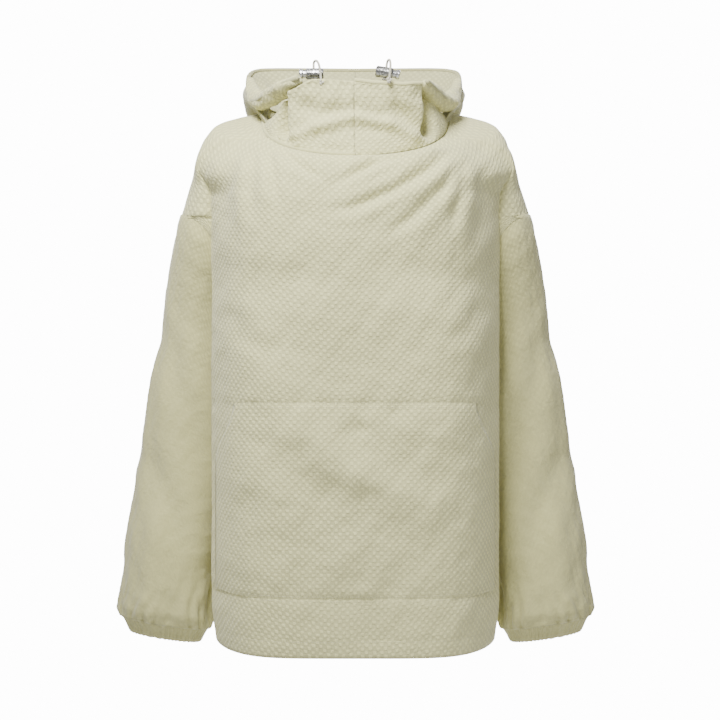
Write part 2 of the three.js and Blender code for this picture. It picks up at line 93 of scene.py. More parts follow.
PANEL_LOW, PANEL_HIGH = millimetres("front_panel")
BACK_HIGH = millimetres("back_panel")[1]
HEM_LOW, HEM_HIGH = millimetres("hem_band")
POCKET_HIGH = millimetres("pocket")[1]
SLEEVE_HIGH = millimetres("left_sleeve")[1]
CUFF_LOW, CUFF_HIGH = millimetres("left_cuff")

# The cloth and thread, in millimetres
CLOTH_WALL = 0.8
CUFF_WALL = 1.2
HEM_WALL = 1.6
CORD_RADIUS = 1.5
KNOT_CORD_RADIUS = 1.35
CASING_RADIUS = 3.2
RIM_CASING_RADIUS = 3.0
STITCH_LENGTH = 2.5
STITCH_HALF_WIDTH = 0.42
STITCH_HEIGHT = 0.5

# The body, in millimetres
HEM_Z = HEM_LOW[2]
HEM_TOP = HEM_HIGH[2]
HEM_TAPER = 7
HEM_CORNER_RISE = 11
BODY_HALF = HEM_HIGH[0] - 3
BACK_HALF = 156
BACK_HALF_TOP = 176
FRONT_Y = PANEL_LOW[1] + 1
BACK_Y = BACK_HIGH[1] - 1
FRONT_EDGE_Y = -26
BACK_EDGE_Y = 88
FRONT_EDGE_TURN = 105
BACK_EDGE_TURN = 122
SEAM_Y = 22
RIDGE_Y = 29
FACE = 0.72
FACE_POWER = 5
NECK_HALF = 124
NECK_FRONT = (PANEL_LOW[1] + 29, -65)
NECK_BACK = (62, 8)
NECK_SIDE_Z = PANEL_HIGH[2] - 2
SHOULDER_HALF = 192
SHOULDER_SLOPE = 0.33
SHOULDER_ROUND = 17
SHOULDER_RISE = 51
EDGE_FALL = 70
CAP_REACH = {True: 205, False: 196}
CAP_END_Z = SLEEVE_HIGH[2] + 4
ARMHOLE_FALL = 115
ARMPIT_Z = CAP_END_Z - ARMHOLE_FALL
YOKE = 0.3
POCKET_TOP = POCKET_HIGH[2]
POCKET_FOOT = -622
POCKET_HALF = POCKET_HIGH[0]
TUCK = 38
TUCK_TOP = -372
TUCK_FOOT = -640

# The sleeves, in millimetres
SLEEVE_TOP_OUT = 238
SLEEVE_SPREAD = 0.2
SLEEVE_BOW = 0.00008
SLEEVE_DEEP = 58
SLEEVE_MIDDLE_Y = 52
SLEEVE_FOOT = -669
SLEEVE_FORWARD = 30
SLEEVE_CLEAR = 7
SLEEVE_TUCK_IN = 7
CUFF_FOOT = -689
CUFF_X = (CUFF_LOW[0] + CUFF_HIGH[0]) / 2
CUFF_HALF = (CUFF_HIGH[0] - CUFF_LOW[0]) / 2
CUFF_Y = (CUFF_LOW[1] + CUFF_HIGH[1]) / 2
CUFF_DEPTH = (CUFF_HIGH[1] - CUFF_LOW[1]) / 2
CUFF_TILT = 0.16
CUFF_FLARE = 13

# Where cloth would turn between two bodies, in metres; sew leaves the pieces given these fixed in place
ARM_BLEND_START = np.array([0.1965, 0.029, -0.1885])
ARM_BLEND_WAY = np.array([0.82, 0, -0.57]) * 0.078
HOOD_BLEND = ((0, 0.066, 0), (0, 0.13, 0))

# The cord locks, in millimetres; the left one leans by this many radians
LEFT_LEAN = 0.16
SPRING_LENGTH = 4.9
SPRING_RADIUS = 3.3
SPRING_WIRE = 0.42
SPRING_TURNS = 2.5

# The stage and camera, in metres
FLOOR_SIZE = 4
FLOOR_DROP = 0.55
LAMPS = {
    "key": {"place": (-0.3, -0.85, 0.84), "aim": (0, -0.08, -0.06), "size": 0.5, "share": 1.0},
    "fill": {"place": (1.5, -1.9, 0.2), "aim": (0, 0, -0.33), "size": 1.6, "share": 0.3},
}
BACKDROP_EDGE = (0.8, 0.94)
CAMERA_X = 0.006
CAMERA_Z = -0.372
CAMERA_SHIFT = 0.0556
SENSOR_WIDTH = 36


# ------------------------------------------------------------------ numbers


def mix(a, b, t):
    return a + (b - a) * t


def smooth(t):
    t = np.clip(t, 0, 1)
    return t * t * (3 - 2 * t)


def stack(x, y, z):
    return np.stack(np.broadcast_arrays(x, y, z), axis=-1).astype(float)


def ripple(x, y, seed, scale=1.0, octaves=4):
    """Smooth wandering values in -1..1, made of a few crossed waves."""
    draw = np.random.default_rng(seed)
    total = np.zeros(np.broadcast(x, y).shape)
    weight = 0
    for octave in range(octaves):
        share = 0.62 ** octave
        for _ in range(3):
            angle = draw.uniform(0, math.pi)
            turn = draw.uniform(0, math.tau)
            pitch = 1.7 ** octave / scale * draw.uniform(0.8, 1.25)
            along = x * math.cos(angle) + y * math.sin(angle)
            sway = 1.7 * np.sin(0.6 * along * pitch + turn * 2)
            total += share * np.sin(along * pitch * math.tau + turn + sway)
        weight += 3 * share
    return total / weight * 1.8


def normals_of(points, closed=False):
    """Unit normals of a grid of points [row, column]."""
    if closed:
        across = np.roll(points, -1, axis=1) - np.roll(points, 1, axis=1)
    else:
        across = np.gradient(points, axis=1)
    down = np.gradient(points, axis=0)
    normal = np.cross(across, down)
    return normal / np.maximum(np.linalg.norm(normal, axis=-1, keepdims=True), 1e-9)


def facing(normal, points, centre):
    """Turns a grid's normals away from a centre line."""
    away = np.sum(normal * (points - centre), axis=-1).mean()
    return normal if away > 0 else -normal


# ------------------------------------------------------------------ meshes


def flat_sizes(points, closed=False):
    """The cloth's own metric coordinates: distance along rows and columns, zero in the middle."""
    grid = np.concatenate([points, points[:, :1]], axis=1) if closed else points
    step = np.linalg.norm(np.diff(grid, axis=1), axis=-1)
    u = np.concatenate([np.zeros((len(grid), 1)), np.cumsum(step, axis=1)], axis=1)
    u -= u[:, u.shape[1] // 2][:, None]
    fall = np.linalg.norm(np.diff(grid, axis=0), axis=-1)
    v = np.concatenate([np.zeros((1, grid.shape[1])), np.cumsum(fall, axis=0)], axis=0)
    middle = v[:, v.shape[1] // 2][:, None]
    v = mix(v, middle, 0.6)
    return u * MM, v * MM


def cloth_grid(name, points, out, closed=False, thickness=CLOTH_WALL, puff=1.0):
    """A cloth piece from a grid of points in millimetres, with a wall and a metric UV map.

    out lies behind the outer face, and puff is how strongly the weave stands out, both in relief and in
    its painted light and shade.
    """
    rows, columns = points.shape[:2]
    u, v = flat_sizes(points, closed)
    mesh = bpy.data.meshes.new(name)
    index = np.arange(rows * columns).reshape(rows, columns)
    wide = np.concatenate([index, index[:, :1]], axis=1) if closed else index

    def corners(grid):
        around = [grid[:-1, :-1], grid[:-1, 1:], grid[1:, 1:], grid[1:, :-1]]
        return np.stack(around, axis=-1).reshape(-1, 4)

    faces, corner_u, corner_v = corners(wide), corners(u), corners(v)
    if np.sum(normals_of(points, closed) * (points - out)) > 0:
        faces, corner_u, corner_v = faces[:, ::-1], corner_u[:, ::-1], corner_v[:, ::-1]
    mesh.from_pydata((points.reshape(-1, 3) * MM).tolist(), [], faces.tolist())
    flat = np.stack([corner_u.reshape(-1), corner_v.reshape(-1)], axis=-1)
    mesh.uv_layers.new(name="cut").data.foreach_set("uv", flat.reshape(-1))
    weave_puff_and_shade = mesh.attributes.new("weave_puff_and_shade", "FLOAT", "POINT")
    weave_puff_and_shade.data.foreach_set("value", np.broadcast_to(puff, (rows, columns)).reshape(-1).astype(float))
    piece = linked(name, mesh)
    wall = piece.modifiers.new("thickness", "SOLIDIFY")
    wall.thickness = thickness * MM
    wall.offset = -1
    bpy.ops.object.modifier_apply(modifier=wall.name)
    bpy.ops.object.shade_smooth()
    return piece


def linked(name, mesh):
    """A new object for a mesh, alone in the selection."""
    piece = bpy.data.objects.new(name, mesh)
    bpy.context.scene.collection.objects.link(piece)
    only(piece)
    return piece


def only(*pieces):
    """Selects just these pieces, the last one active."""
    bpy.ops.object.select_all(action="DESELECT")
    for piece in pieces:
        piece.select_set(True)
    bpy.context.view_layer.objects.active = pieces[-1]


def area_of(points, closed=False):
    """The cut area of a grid of points, in square metres."""
    grid = np.concatenate([points, points[:, :1]], axis=1) if closed else points
    p = grid[:-1, :-1]
    one = np.cross(grid[:-1, 1:] - p, grid[1:, 1:] - p)
    two = np.cross(grid[1:, 1:] - p, grid[1:, :-1] - p)
    return float((np.linalg.norm(one, axis=-1) + np.linalg.norm(two, axis=-1)).sum() / 2 * MM * MM)


def tube_mesh(name, path, radius, sides=12, closed=False):
    """A round tube along a path of points in millimetres."""
    path = np.asarray(path, float)
    ahead = np.roll(path, -1, axis=0) - np.roll(path, 1, axis=0) if closed else np.gradient(path, axis=0)
    ahead /= np.linalg.norm(ahead, axis=1, keepdims=True)
    side = np.cross(ahead[0], (0.31, 0.17, 0.94))
    rings = []
    for place, way in zip(path, ahead):
        side = side - way * side.dot(way)
        side /= np.linalg.norm(side)
        up = np.cross(way, side)
        angle = np.linspace(0, math.tau, sides, endpoint=False)[:, None]
        rings.append(place + radius * (np.cos(angle) * side + np.sin(angle) * up))
    points = np.array(rings)
    work = bmesh.new()
    uv = work.loops.layers.uv.new("cut")
    verts = [[work.verts.new(p * MM) for p in ring] for ring in points]
    run = run_along(path) * MM
    count = len(path)
    for i in range(count if closed else count - 1):
        for j in range(sides):
            corners = ((i, j), (i, j + 1), (i + 1, j + 1), (i + 1, j))
            face = work.faces.new([verts[a % count][b % sides] for a, b in corners])
            for loop, (a, b) in zip(face.loops, corners):
                along = run[a] if a < count else run[-1] + (run[1] - run[0])
                loop[uv].uv = (along, b / sides * math.tau * radius * MM)
    if not closed:
        work.faces.new(verts[0][::-1])
        work.faces.new(verts[-1])
    bmesh.ops.recalc_face_normals(work, faces=work.faces)
    mesh = bpy.data.meshes.new(name)
    work.to_mesh(mesh)
    work.free()
    piece = linked(name, mesh)
    bpy.ops.object.shade_smooth()
    return piece


def run_along(path):
    """The distance of each point of a path from its start."""
    return np.concatenate([[0], np.cumsum(np.linalg.norm(np.diff(path, axis=0), axis=1))])


def values_at(marks, run, values):
    """Rows of values read off at distances along a path."""
    return np.stack([np.interp(marks, run, column) for column in values.T], axis=1)


STITCH_FACES = ((0, 2, 3, 1), (2, 8, 3), (2, 4, 9, 8), (3, 8, 9, 5), (4, 5, 9), (4, 6, 7, 5),
                (0, 6, 4, 2), (1, 3, 5, 7), (0, 1, 7, 6))
STITCH_SECTIONS = ((-0.5, -0.4), (-0.3, 0.8), (0.3, 0.8), (0.5, -0.4))
STITCH_CROWN = 1.25


def stitch_row(name, lines, ups, gap):
    """Rows of short raised stitches along lines of points; ups holds each line's outward normals."""
    verts = []
    faces = []
    for path, up in zip(lines, ups):
        run = run_along(path)
        count = max(int(run[-1] / gap), 1)
        marks = (np.arange(count) + 0.5) * run[-1] / count
        ways = values_at(marks + 0.5, run, path) - values_at(marks - 0.5, run, path)
        for place, way, out in zip(values_at(marks, run, path), ways, values_at(marks, run, up)):
            way = way / np.linalg.norm(way) * STITCH_LENGTH
            out = out / np.linalg.norm(out) * STITCH_HEIGHT
            side = np.cross(way, out) / (STITCH_LENGTH * STITCH_HEIGHT) * STITCH_HALF_WIDTH
            base = len(verts)
            for along, lift in STITCH_SECTIONS:
                verts += [place + way * along + side * across + out * lift for across in (-1, 1)]
            verts += [place + out * STITCH_CROWN + way * along for along in (-0.2, 0.2)]
            faces += [tuple(base + corner for corner in face) for face in STITCH_FACES]
    mesh = bpy.data.meshes.new(name)
    mesh.from_pydata((np.array(verts) * MM).tolist(), [], faces)
    work = bmesh.new()
    work.from_mesh(mesh)
    bmesh.ops.recalc_face_normals(work, faces=work.faces)
    work.to_mesh(mesh)
    work.free()
    piece = linked(name, mesh)
    bpy.ops.object.shade_smooth()
    return piece


def finish(piece, material, body):
    piece.data.materials.clear()
    piece.data.materials.append(material)
    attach(piece, body)
    return piece


# ------------------------------------------------------------------ materials


class Wire:
    """One output of a material's nodes; arithmetic on it adds Math nodes."""

    def __init__(self, recipe, socket):
        self.recipe = recipe
        self.socket = socket

    def maths(self, operation, *terms):
        node = self.recipe.node("ShaderNodeMath", {"operation": operation}, dict(enumerate(terms)))
        return Wire(self.recipe, node.outputs[0])

    def __add__(self, other):
        return self.maths("ADD", self, other)

    __radd__ = __add__

    def __mul__(self, other):
        return self.maths("MULTIPLY", self, other)

    __rmul__ = __mul__

    def __sub__(self, other):
        return self.maths("SUBTRACT", self, other)

    def __rsub__(self, other):
        return self.maths("SUBTRACT", other, self)

    def wave(self):
        return self.maths("COSINE", self)

    def above(self, low, high):
        """0 below low, 1 above high, with a smooth rise between."""
        settings = {"interpolation_type": "SMOOTHSTEP"}
        node = self.recipe.node("ShaderNodeMapRange", settings, {0: self, 1: low, 2: high})
        return Wire(self.recipe, node.outputs[0])


class Recipe:
    """A material and the nodes that make its finish."""

    def __init__(self, name):
        self.material = bpy.data.materials.new(name)
        self.material.use_nodes = True
        self.tree = self.material.node_tree
        self.shader = self.tree.nodes["Principled BSDF"]

    def node(self, kind, settings, inputs):
        node = self.tree.nodes.new(kind)
        for key, value in settings.items():
            setattr(node, key, value)
        for key, value in inputs.items():
            self.join(value, node.inputs[key])
        return node

    def join(self, value, socket):
        if isinstance(value, Wire):
            self.tree.links.new(value.socket, socket)
        else:
            socket.default_value = value

    def wire(self, kind, settings, inputs, output=0):
        return Wire(self, self.node(kind, settings, inputs).outputs[output])

    def cut(self):
        """The cloth's own metric coordinates, whole and as their two parts."""
        whole = self.wire("ShaderNodeUVMap", {"uv_map": "cut"}, {})
        parts = self.node("ShaderNodeSeparateXYZ", {}, {0: whole})
        return whole, Wire(self, parts.outputs[0]), Wire(self, parts.outputs[1])

    def place(self):
        """Object coordinates, in metres."""
        return self.wire("ShaderNodeTexCoord", {}, {}, 3)

    def noise(self, place, scale, detail=3.0, distortion=0.0):
        inputs = {"Vector": place, "Scale": scale, "Detail": detail, "Distortion": distortion}
        return self.wire("ShaderNodeTexNoise", {}, inputs)

    def blend(self, amount, low, high):
        """Mixes two colours; each is a colour or a wire."""
        low, high = (c if isinstance(c, Wire) else (*c, 1) for c in (low, high))
        return self.wire("ShaderNodeMix", {"data_type": "RGBA"}, {0: amount, 6: low, 7: high}, 2)

    def bump(self, height):
        return self.wire("ShaderNodeBump", {}, {"Strength": 1.0, "Distance": 1.0, "Height": height})

    def finish(self, **sockets):
        for name, value in sockets.items():
            self.join(value, self.shader.inputs[name.replace("_", " ").title()])
        return self.material


# Pitches and depths of the weaves, in metres
GROUND_PITCH = 0.0011
GROUND_DEPTH = 0.00003
BRAID_PITCH = 0.0022
BRAID_STRAND = 0.00118
RIB_PITCH = 0.0016
WEFT_PITCH = 0.0008
CLOTH_SHEEN = {"Sheen Weight": 0.25, "Sheen Roughness": 0.6, "Specular IOR Level": 0.25}


def shade(colour, factor):
    return tuple(min(1.0, c * factor) for c in colour)


def cloth_material(name, colour, weave, depth):
    """Blister-weave cloth: staggered puffed cells over a fine plain ground, with painted shade between
    the cells and painted light on their tops.
    """
    r = Recipe(name)
    cut, u, v = r.cut()
    place = r.place()
    weave_puff_and_shade = r.wire("ShaderNodeAttribute", {"attribute_name": "weave_puff_and_shade"}, {}, 2)
    drift = r.noise(cut, scale=38.0, detail=2.0) - 0.5
    jitter = r.noise(cut, scale=210.0, detail=1.0) - 0.5
    u = u + drift * 0.0024 + jitter * 0.0026
    v = v + drift * 0.0016 + jitter * 0.0014
    lattice = (u * (math.tau / weave[0])).wave() * (v * (math.pi / weave[1])).wave()
    blister_and_painted_light = lattice.above(-0.2, 0.75) * weave_puff_and_shade
    ground = (u * (math.tau / GROUND_PITCH)).wave() * (v * (math.tau / GROUND_PITCH)).wave()
    crumple = r.noise(place, scale=42.0, detail=4.0, distortion=0.6)
    pucker = r.noise(cut, scale=260.0, detail=2.0, distortion=0.4)
    tone = r.noise(place, scale=7.0)
    # painted light and shade: darker between the blisters, lighter on their tops
    base = r.blend(blister_and_painted_light, shade(colour, 0.79), shade(colour, 1.10))
    base = r.blend(tone.above(0.3, 0.7) * 0.5, base, shade(colour, 0.94))
    # painted highlight: the high spots of the fine pucker relief are coloured lighter
    base = r.blend(pucker.above(0.42, 0.75) * 0.22, base, shade(colour, 1.12))
    height = blister_and_painted_light * depth + ground * GROUND_DEPTH + crumple * 0.0016 + pucker * 0.0005
    for socket, value in CLOTH_SHEEN.items():
        r.shader.inputs[socket].default_value = value
    return r.finish(base_color=base, roughness=0.78 + pucker * 0.16, normal=r.bump(height))


def thread_material(name, colour):
    """Twisted sewing thread, with painted shade in the grooves between its plies and painted light on
    their crowns.
    """
    r = Recipe(name)
    place = r.place()
    ply_and_painted_shade = r.noise(place, scale=900.0, detail=2.0)
    tone = r.noise(place, scale=60.0, detail=2.0)
    # painted shade in the grooves of the twist, painted light on the plies
    base = r.blend(ply_and_painted_shade, shade(colour, 0.8), shade(colour, 1.08))
    base = r.blend(tone * 0.4, base, shade(colour, 0.9))
    return r.finish(base_color=base, roughness=0.6 + ply_and_painted_shade * 0.2, normal=r.bump(ply_and_painted_shade * 0.0002))


def cord_material(name, colour):
    """Round braided elastic cord, with painted shade between its strands."""
    r = Recipe(name)
    cut, u, v = r.cut()
    along = u * (math.tau / BRAID_PITCH)
    about = v * (math.tau / BRAID_STRAND)
    strand_and_painted_shade = ((along + about).wave() * (along - about).wave()).above(-0.6, 0.8)
    wear = r.noise(cut, scale=500.0)
    # painted shade in the gaps between the strands of the braid
    base = r.blend(strand_and_painted_shade, shade(colour, 0.68), shade(colour, 1.04))
    base = r.blend(wear * 0.3, base, shade(colour, 0.85))
    return r.finish(base_color=base, roughness=0.6 + wear * 0.25, normal=r.bump(strand_and_painted_shade * 0.00025))


def elastic_material(name, colour):
    """Flat woven elastic with lengthwise ribs and painted shade in the grooves between them."""
    r = Recipe(name)
    cut, u, v = r.cut()
    rib_and_painted_shade = (v * (math.tau / RIB_PITCH)).wave().above(-0.7, 0.7)
    weft = (u * (math.tau / WEFT_PITCH)).wave()
    fuzz = r.noise(cut, scale=700.0, detail=2.0)
    # painted shade in the grooves between the ribs
    base = r.blend(rib_and_painted_shade, shade(colour, 0.84), shade(colour, 1.04))
    return r.finish(base_color=base, roughness=0.75 + fuzz * 0.15,
                    normal=r.bump(rib_and_painted_shade * 0.00035 + weft * 0.00006 + fuzz * 0.0001))


def plated_material(name, dark, light, roughness):
    """Metal-coated moulding, scuffed, with painted reflections: its colour mottled between a dark and a
    light tone, lightest on the high spots of its bump.
    """
    r = Recipe(name)
    place = r.place()
    cloud_and_painted_gleam = r.noise(place, scale=260.0, detail=4.0, distortion=0.8)
    scuff = r.noise(place, scale=1400.0, detail=2.0)
    # painted reflections: the mottle runs from the dark colour to the light one where the bump stands
    # highest
    base = r.blend(cloud_and_painted_gleam.above(0.35, 0.65), dark, light)
    base = r.blend(scuff.above(0.58, 0.75) * 0.4, base, shade(light, 1.1))
    rough = roughness + (scuff - 0.5) * 0.25
    return r.finish(base_color=base, roughness=rough, metallic=0.75 + cloud_and_painted_gleam * 0.2,
                    normal=r.bump(cloud_and_painted_gleam * 0.0003 + scuff * 0.00008))


def stage_material(name, colour):
    """Pale painted floor with a faint mottle."""
    r = Recipe(name)
    mottle = r.noise(r.place(), scale=5.0, detail=4.0)
    base = r.blend(mottle, shade(colour, 0.985), colour)
    return r.finish(base_color=base, roughness=0.9 + mottle * 0.05)


# ------------------------------------------------------------------ shape of the smock


def settings():
    return bpy.context.scene.smock


def neckline(side, front):
    """A point of the neckline seam. side runs -1 to 1 between the shoulder-neck points."""
    forward = np.clip(np.cos(side * math.pi / 2), 0, 1)
    reach, drop = NECK_FRONT if front else NECK_BACK
    curve = 0.6 if front else 0.8
    return stack(NECK_HALF * np.sin(side * math.pi / 2),
                 mix(SEAM_Y, reach, forward ** curve), mix(NECK_SIDE_Z, drop, forward ** curve))


def hem_taper(z):
    """The body draws in over the hem's last stretch."""
    return HEM_TAPER * smooth((HEM_Z + 62 - z) / 80) ** 1.5


def tuck(z):
    return TUCK * (1 - smooth((TUCK_TOP - z) / (TUCK_TOP - TUCK_FOOT)))


def seam_x(z):
    return BODY_HALF - tuck(z) - hem_taper(z)


def ridge_x(z):
    """Half the width across the shoulders at a height."""
    top = NECK_HALF + SHOULDER_RISE * np.clip(1 - z / NECK_SIDE_Z, 0, 1) ** 0.65
    slope = SHOULDER_HALF - SHOULDER_SLOPE * z - SHOULDER_ROUND * np.exp(np.clip(z, -200, 0) / 12)
    return np.where(z > 0, top, slope)


def forearm(z):
    """0 above the elbow, rising to 1 at the cuff."""
    return smooth((-420 - z) / 240)


def sleeve_out(z):
    """How far out the sleeve's outer side is at a height."""
    down = CAP_END_Z - z
    return SLEEVE_TOP_OUT + SLEEVE_SPREAD * down - SLEEVE_BOW * down * down - 5 * smooth((-540 - z) / 80)


def sleeve_in(z):
    return seam_x(z) + SLEEVE_CLEAR


def sleeve_y(z):
    return mix(RIDGE_Y, SLEEVE_MIDDLE_Y, smooth((CAP_END_Z - z) / 150)) - SLEEVE_FORWARD * forearm(z)


def sleeve_section(angle, z):
    """A point of the sleeve. The angle is 0 outside, a quarter turn in front, a half turn inside."""
    gather = smooth((z - SLEEVE_FOOT) / 18)
    x = mix(CUFF_X, (sleeve_out(z) + sleeve_in(z)) / 2, gather)
    half = mix(CUFF_HALF + CUFF_FLARE, (sleeve_out(z) - sleeve_in(z)) / 2, gather)
    deep = mix(CUFF_DEPTH + CUFF_FLARE, SLEEVE_DEEP - 8 * forearm(z), gather)
    middle = mix(CUFF_Y, sleeve_y(z), gather)
    return stack(x + half * np.cos(angle), middle - deep * np.sin(angle), z)


def armhole_z(angle):
    """The height of the armhole seam round the sleeve."""
    return CAP_END_Z - ARMHOLE_FALL * ((1 - np.cos(angle)) / 2) ** 3


ARMHOLE_ANGLES = np.linspace(0, math.pi, 400)
ARMHOLE_HEIGHTS = armhole_z(ARMHOLE_ANGLES)


def armhole_angle(z):
    """How far round the sleeve the armhole seam has come at a height."""
    return np.interp(-z, -ARMHOLE_HEIGHTS, ARMHOLE_ANGLES)


def edge_start(front):
    """The angle round the sleeve's top at which the body's face turns into its side."""
    return math.radians(FRONT_EDGE_TURN if front else BACK_EDGE_TURN)


def body_edge(z, front):
    """Where the flat face of the body turns into its side."""
    start = edge_start(front)
    turn = 1 if front else -1
    crossing = float(armhole_z(start))
    high = sleeve_section(np.full(np.shape(z), start * turn), np.maximum(z, crossing))
    low_x = (BODY_HALF if front else mix(BACK_HALF_TOP, BACK_HALF, tuck(z) / TUCK)) - hem_taper(z)
    low_y = FRONT_EDGE_Y if front else BACK_EDGE_Y
    t = smooth((crossing - z) / EDGE_FALL)
    return mix(high[..., 0], low_x, t), mix(high[..., 1], low_y, t)


def body_ring(side, z, front):
    """A point of the body below the yoke."""
    turn = 1 if front else -1
    start = edge_start(front)
    edge_x, edge_y = body_edge(z, front)
    t = np.clip(np.abs(side) / FACE, 0, 1)
    reach = np.sin(t * math.pi / 2) ** 0.9
    face = stack(edge_x * reach, mix(FRONT_Y if front else BACK_Y, edge_y, reach ** FACE_POWER), z)
    wrap = np.clip((np.abs(side) - FACE) / (1 - FACE), 0, 1)
    angle = armhole_angle(z)
    arc = sleeve_section(turn * mix(start, angle, wrap), np.maximum(z, ARMPIT_Z))
    pit = sleeve_section(turn * angle, np.maximum(z, ARMPIT_Z))
    low = smooth((ARMPIT_Z - z) / EDGE_FALL)
    seam = stack(mix(pit[..., 0], seam_x(z), low), mix(pit[..., 1], SEAM_Y, low), z)
    wall = stack(mix(edge_x, seam[..., 0], smooth(wrap)), mix(edge_y, seam[..., 1], wrap), z)
    flank = np.where((angle <= start)[..., None], arc, wall)
    flank[..., 2] = z
    point = np.where((wrap > 0)[..., None], flank, face)
    point[..., 0] *= np.sign(side)
    return point


def hem_rise(side, z):
    """The hem's corners curve up towards the sides."""
    return HEM_CORNER_RISE * np.clip(np.abs(side) / FACE, 0, 1) ** 5 * smooth((-560 - z) / 130)


def body_surface(side, v, front):
    """The front or back of the body; v runs from 0 at the neckline to 1 at the hem."""
    s = np.clip(v / YOKE, 0, 1)
    z = mix(CAP_END_Z, HEM_Z + 0.8, np.clip((v - YOKE) / (1 - YOKE), 0, 1))
    ring = body_ring(side, z, front)
    ring[..., 2] += hem_rise(side, z)
    neck = neckline(side, front)
    grow = np.sin(s * math.pi / 2)
    height = mix(neck[..., 2], CAP_END_Z, 1 - np.cos(s * math.pi / 2))
    wrap = np.clip((np.abs(side) - FACE) / (1 - FACE), 0, 1)
    t = np.clip(np.abs(side) / FACE, 0, 1)
    edge_neck = NECK_HALF * math.sin(FACE * math.pi / 2)
    edge_ring = float(body_edge(np.array([CAP_END_Z]), front)[0][0])
    reach = CAP_REACH[front]
    edge = edge_neck + (reach - edge_neck) * np.sin(np.clip(s / 0.57, 0, 1) * math.pi / 2)
    edge = edge + (edge_ring - reach) * smooth((s - 0.57) / 0.25)
    outer = ridge_x(height)
    edge = np.minimum(edge, outer - 1)
    widen = mix(grow, (edge - edge_neck) / (edge_ring - edge_neck), t ** 2)
    x_face = mix(np.abs(neck[..., 0]), np.abs(ring[..., 0]), widen)
    share = (np.abs(ring[..., 0]) - edge_ring) / (SLEEVE_TOP_OUT - edge_ring)
    x_side = edge + (outer - edge) * np.clip(share, 0, 1)
    neck_side = np.abs(neck[..., 0])
    x_side = mix(neck_side, x_side, smooth(s / 0.2))
    x = np.where(wrap > 0, x_side, x_face)
    y = mix(neck[..., 1], ring[..., 1], grow)
    yoke = stack(np.sign(side) * x, y, height)
    return np.where((v < YOKE)[..., None], yoke, ring)


def polyfold(x, z, points, width, depth):
    """A fold pressed along a line of points, fading at both ends, with a soft ridge on each side."""
    points = np.asarray(points, float)
    best = np.full(np.shape(x), 1e9)
    place = np.zeros(np.shape(x))
    lengths = np.linalg.norm(np.diff(points, axis=0), axis=1)
    total = lengths.sum()
    start = 0.0
    for (ax, az), (bx, bz), length in zip(points[:-1], points[1:], lengths):
        t = np.clip(((x - ax) * (bx - ax) + (z - az) * (bz - az)) / length ** 2, 0, 1)
        away = np.hypot(x - ax - t * (bx - ax), z - az - t * (bz - az))
        place = np.where(away < best, (start + t * length) / total, place)
        best = np.minimum(best, away)
        start += length
    fade = smooth(place / 0.2) * smooth((1 - place) / 0.35)
    q = best / width
    return depth * fade * (0.5 * np.exp(-((q - 2.0) ** 2) / 1.2) - np.exp(-q * q))


def hollow(x, z, centre, size, depth):
    """A broad soft hollow; a negative depth makes a swelling."""
    q = ((x - centre[0]) / size[0]) ** 2 + ((z - centre[1]) / size[1]) ** 2
    return -depth * np.exp(-q)


# Pressed folds: their line of (x, z) points, width and depth
CHEST_FOLDS = (
    (((128, -34), (76, -58), (22, -76), (-40, -112)), 6, 4.6),
    (((130, -50), (96, -82), (46, -112), (-4, -134), (-50, -138)), 7, 4.4),
    (((132, -62), (112, -104), (70, -146), (24, -176)), 7, 3.6),
    (((138, -60), (132, -116), (112, -178)), 7, 2.4),
    (((112, -46), (58, -60), (4, -66)), 5, 2.6),
    (((-112, -44), (-104, -84), (-96, -140)), 6, 2.8),
    (((-104, -42), (-78, -72), (-34, -104)), 6, 3.0),
    (((-96, -40), (-56, -58), (-8, -72)), 5, 2.6),
    (((-124, -50), (-132, -96), (-126, -160)), 8, 2.2),
    (((-156, -60), (-166, -110), (-158, -180)), 11, 2.4),
    (((162, -60), (164, -120), (150, -200)), 11, 2.4),
    (((-150, -190), (-84, -300), (-34, -356)), 24, 1.6),
    (((160, -190), (95, -290), (40, -355)), 24, 1.6),
    (((-172, -250), (-130, -300), (-84, -320)), 12, 1.8),
    (((176, -240), (136, -286), (92, -304)), 12, 1.8),
)
POCKET_FOLDS = (
    (((-70, -430), (20, -470), (110, -520)), 20, -4.5),
    (((-150, -400), (-60, -470), (-10, -560)), 24, 3.5),
)
BACK_FOLDS = (
    (((-120, -60), (-60, -170), (-30, -330)), 20, 4),
    (((120, -60), (70, -190), (20, -350)), 20, 4),
)
COLLAR_FOLDS = (
    (((-92, -40), (-40, -24), (0, -14), (50, -24), (96, -46)), 6, -3.2),
    (((-80, 2), (-40, -8), (-6, -2)), 9, 3.5),
    (((40, 6), (66, -12), (92, -40)), 9, 3.5),
    (((-94, -50), (-78, -52), (-66, -44)), 4, -3),
)
SLEEVE_FOLDS = (
    (((276, -250), (222, -380), (196, -500)), 16, 3),
    (((292, -420), (240, -520), (226, -620)), 15, 3.5),
)

# Broad hollows and swellings: their (x, z) centre, size and depth
CHEST_HOLLOWS = (((-94, -222), (62, 30), 6), ((88, -214), (60, 32), 6), ((-20, -190), (40, 46), -3.5))
POCKET_HOLLOWS = (((110, -560), (50, 40), 5), ((6, -409), (14, 9), 3))
BACK_HOLLOWS = (((0, -300), (90, 120), 5),)


def pressed(x, z, folds, hollows=()):
    """The lift of several folds and hollows together."""
    return sum(polyfold(x, z, *fold) for fold in folds) + sum(hollow(x, z, *dent) for dent in hollows)


def front_folds(x, z):
    lift = 1.1 * pressed(x, z, CHEST_FOLDS, CHEST_HOLLOWS)
    return lift + 1.9 * ripple(x, z, 5, 210, 3) + 0.9 * ripple(x, z, 9, 46, 3)


def pocket_folds(x, z):
    lift = pressed(x, z, POCKET_FOLDS, POCKET_HOLLOWS)
    return lift + 2.4 * ripple(x, z, 15, 160, 3) + 0.6 * ripple(x, z, 19, 44, 3)


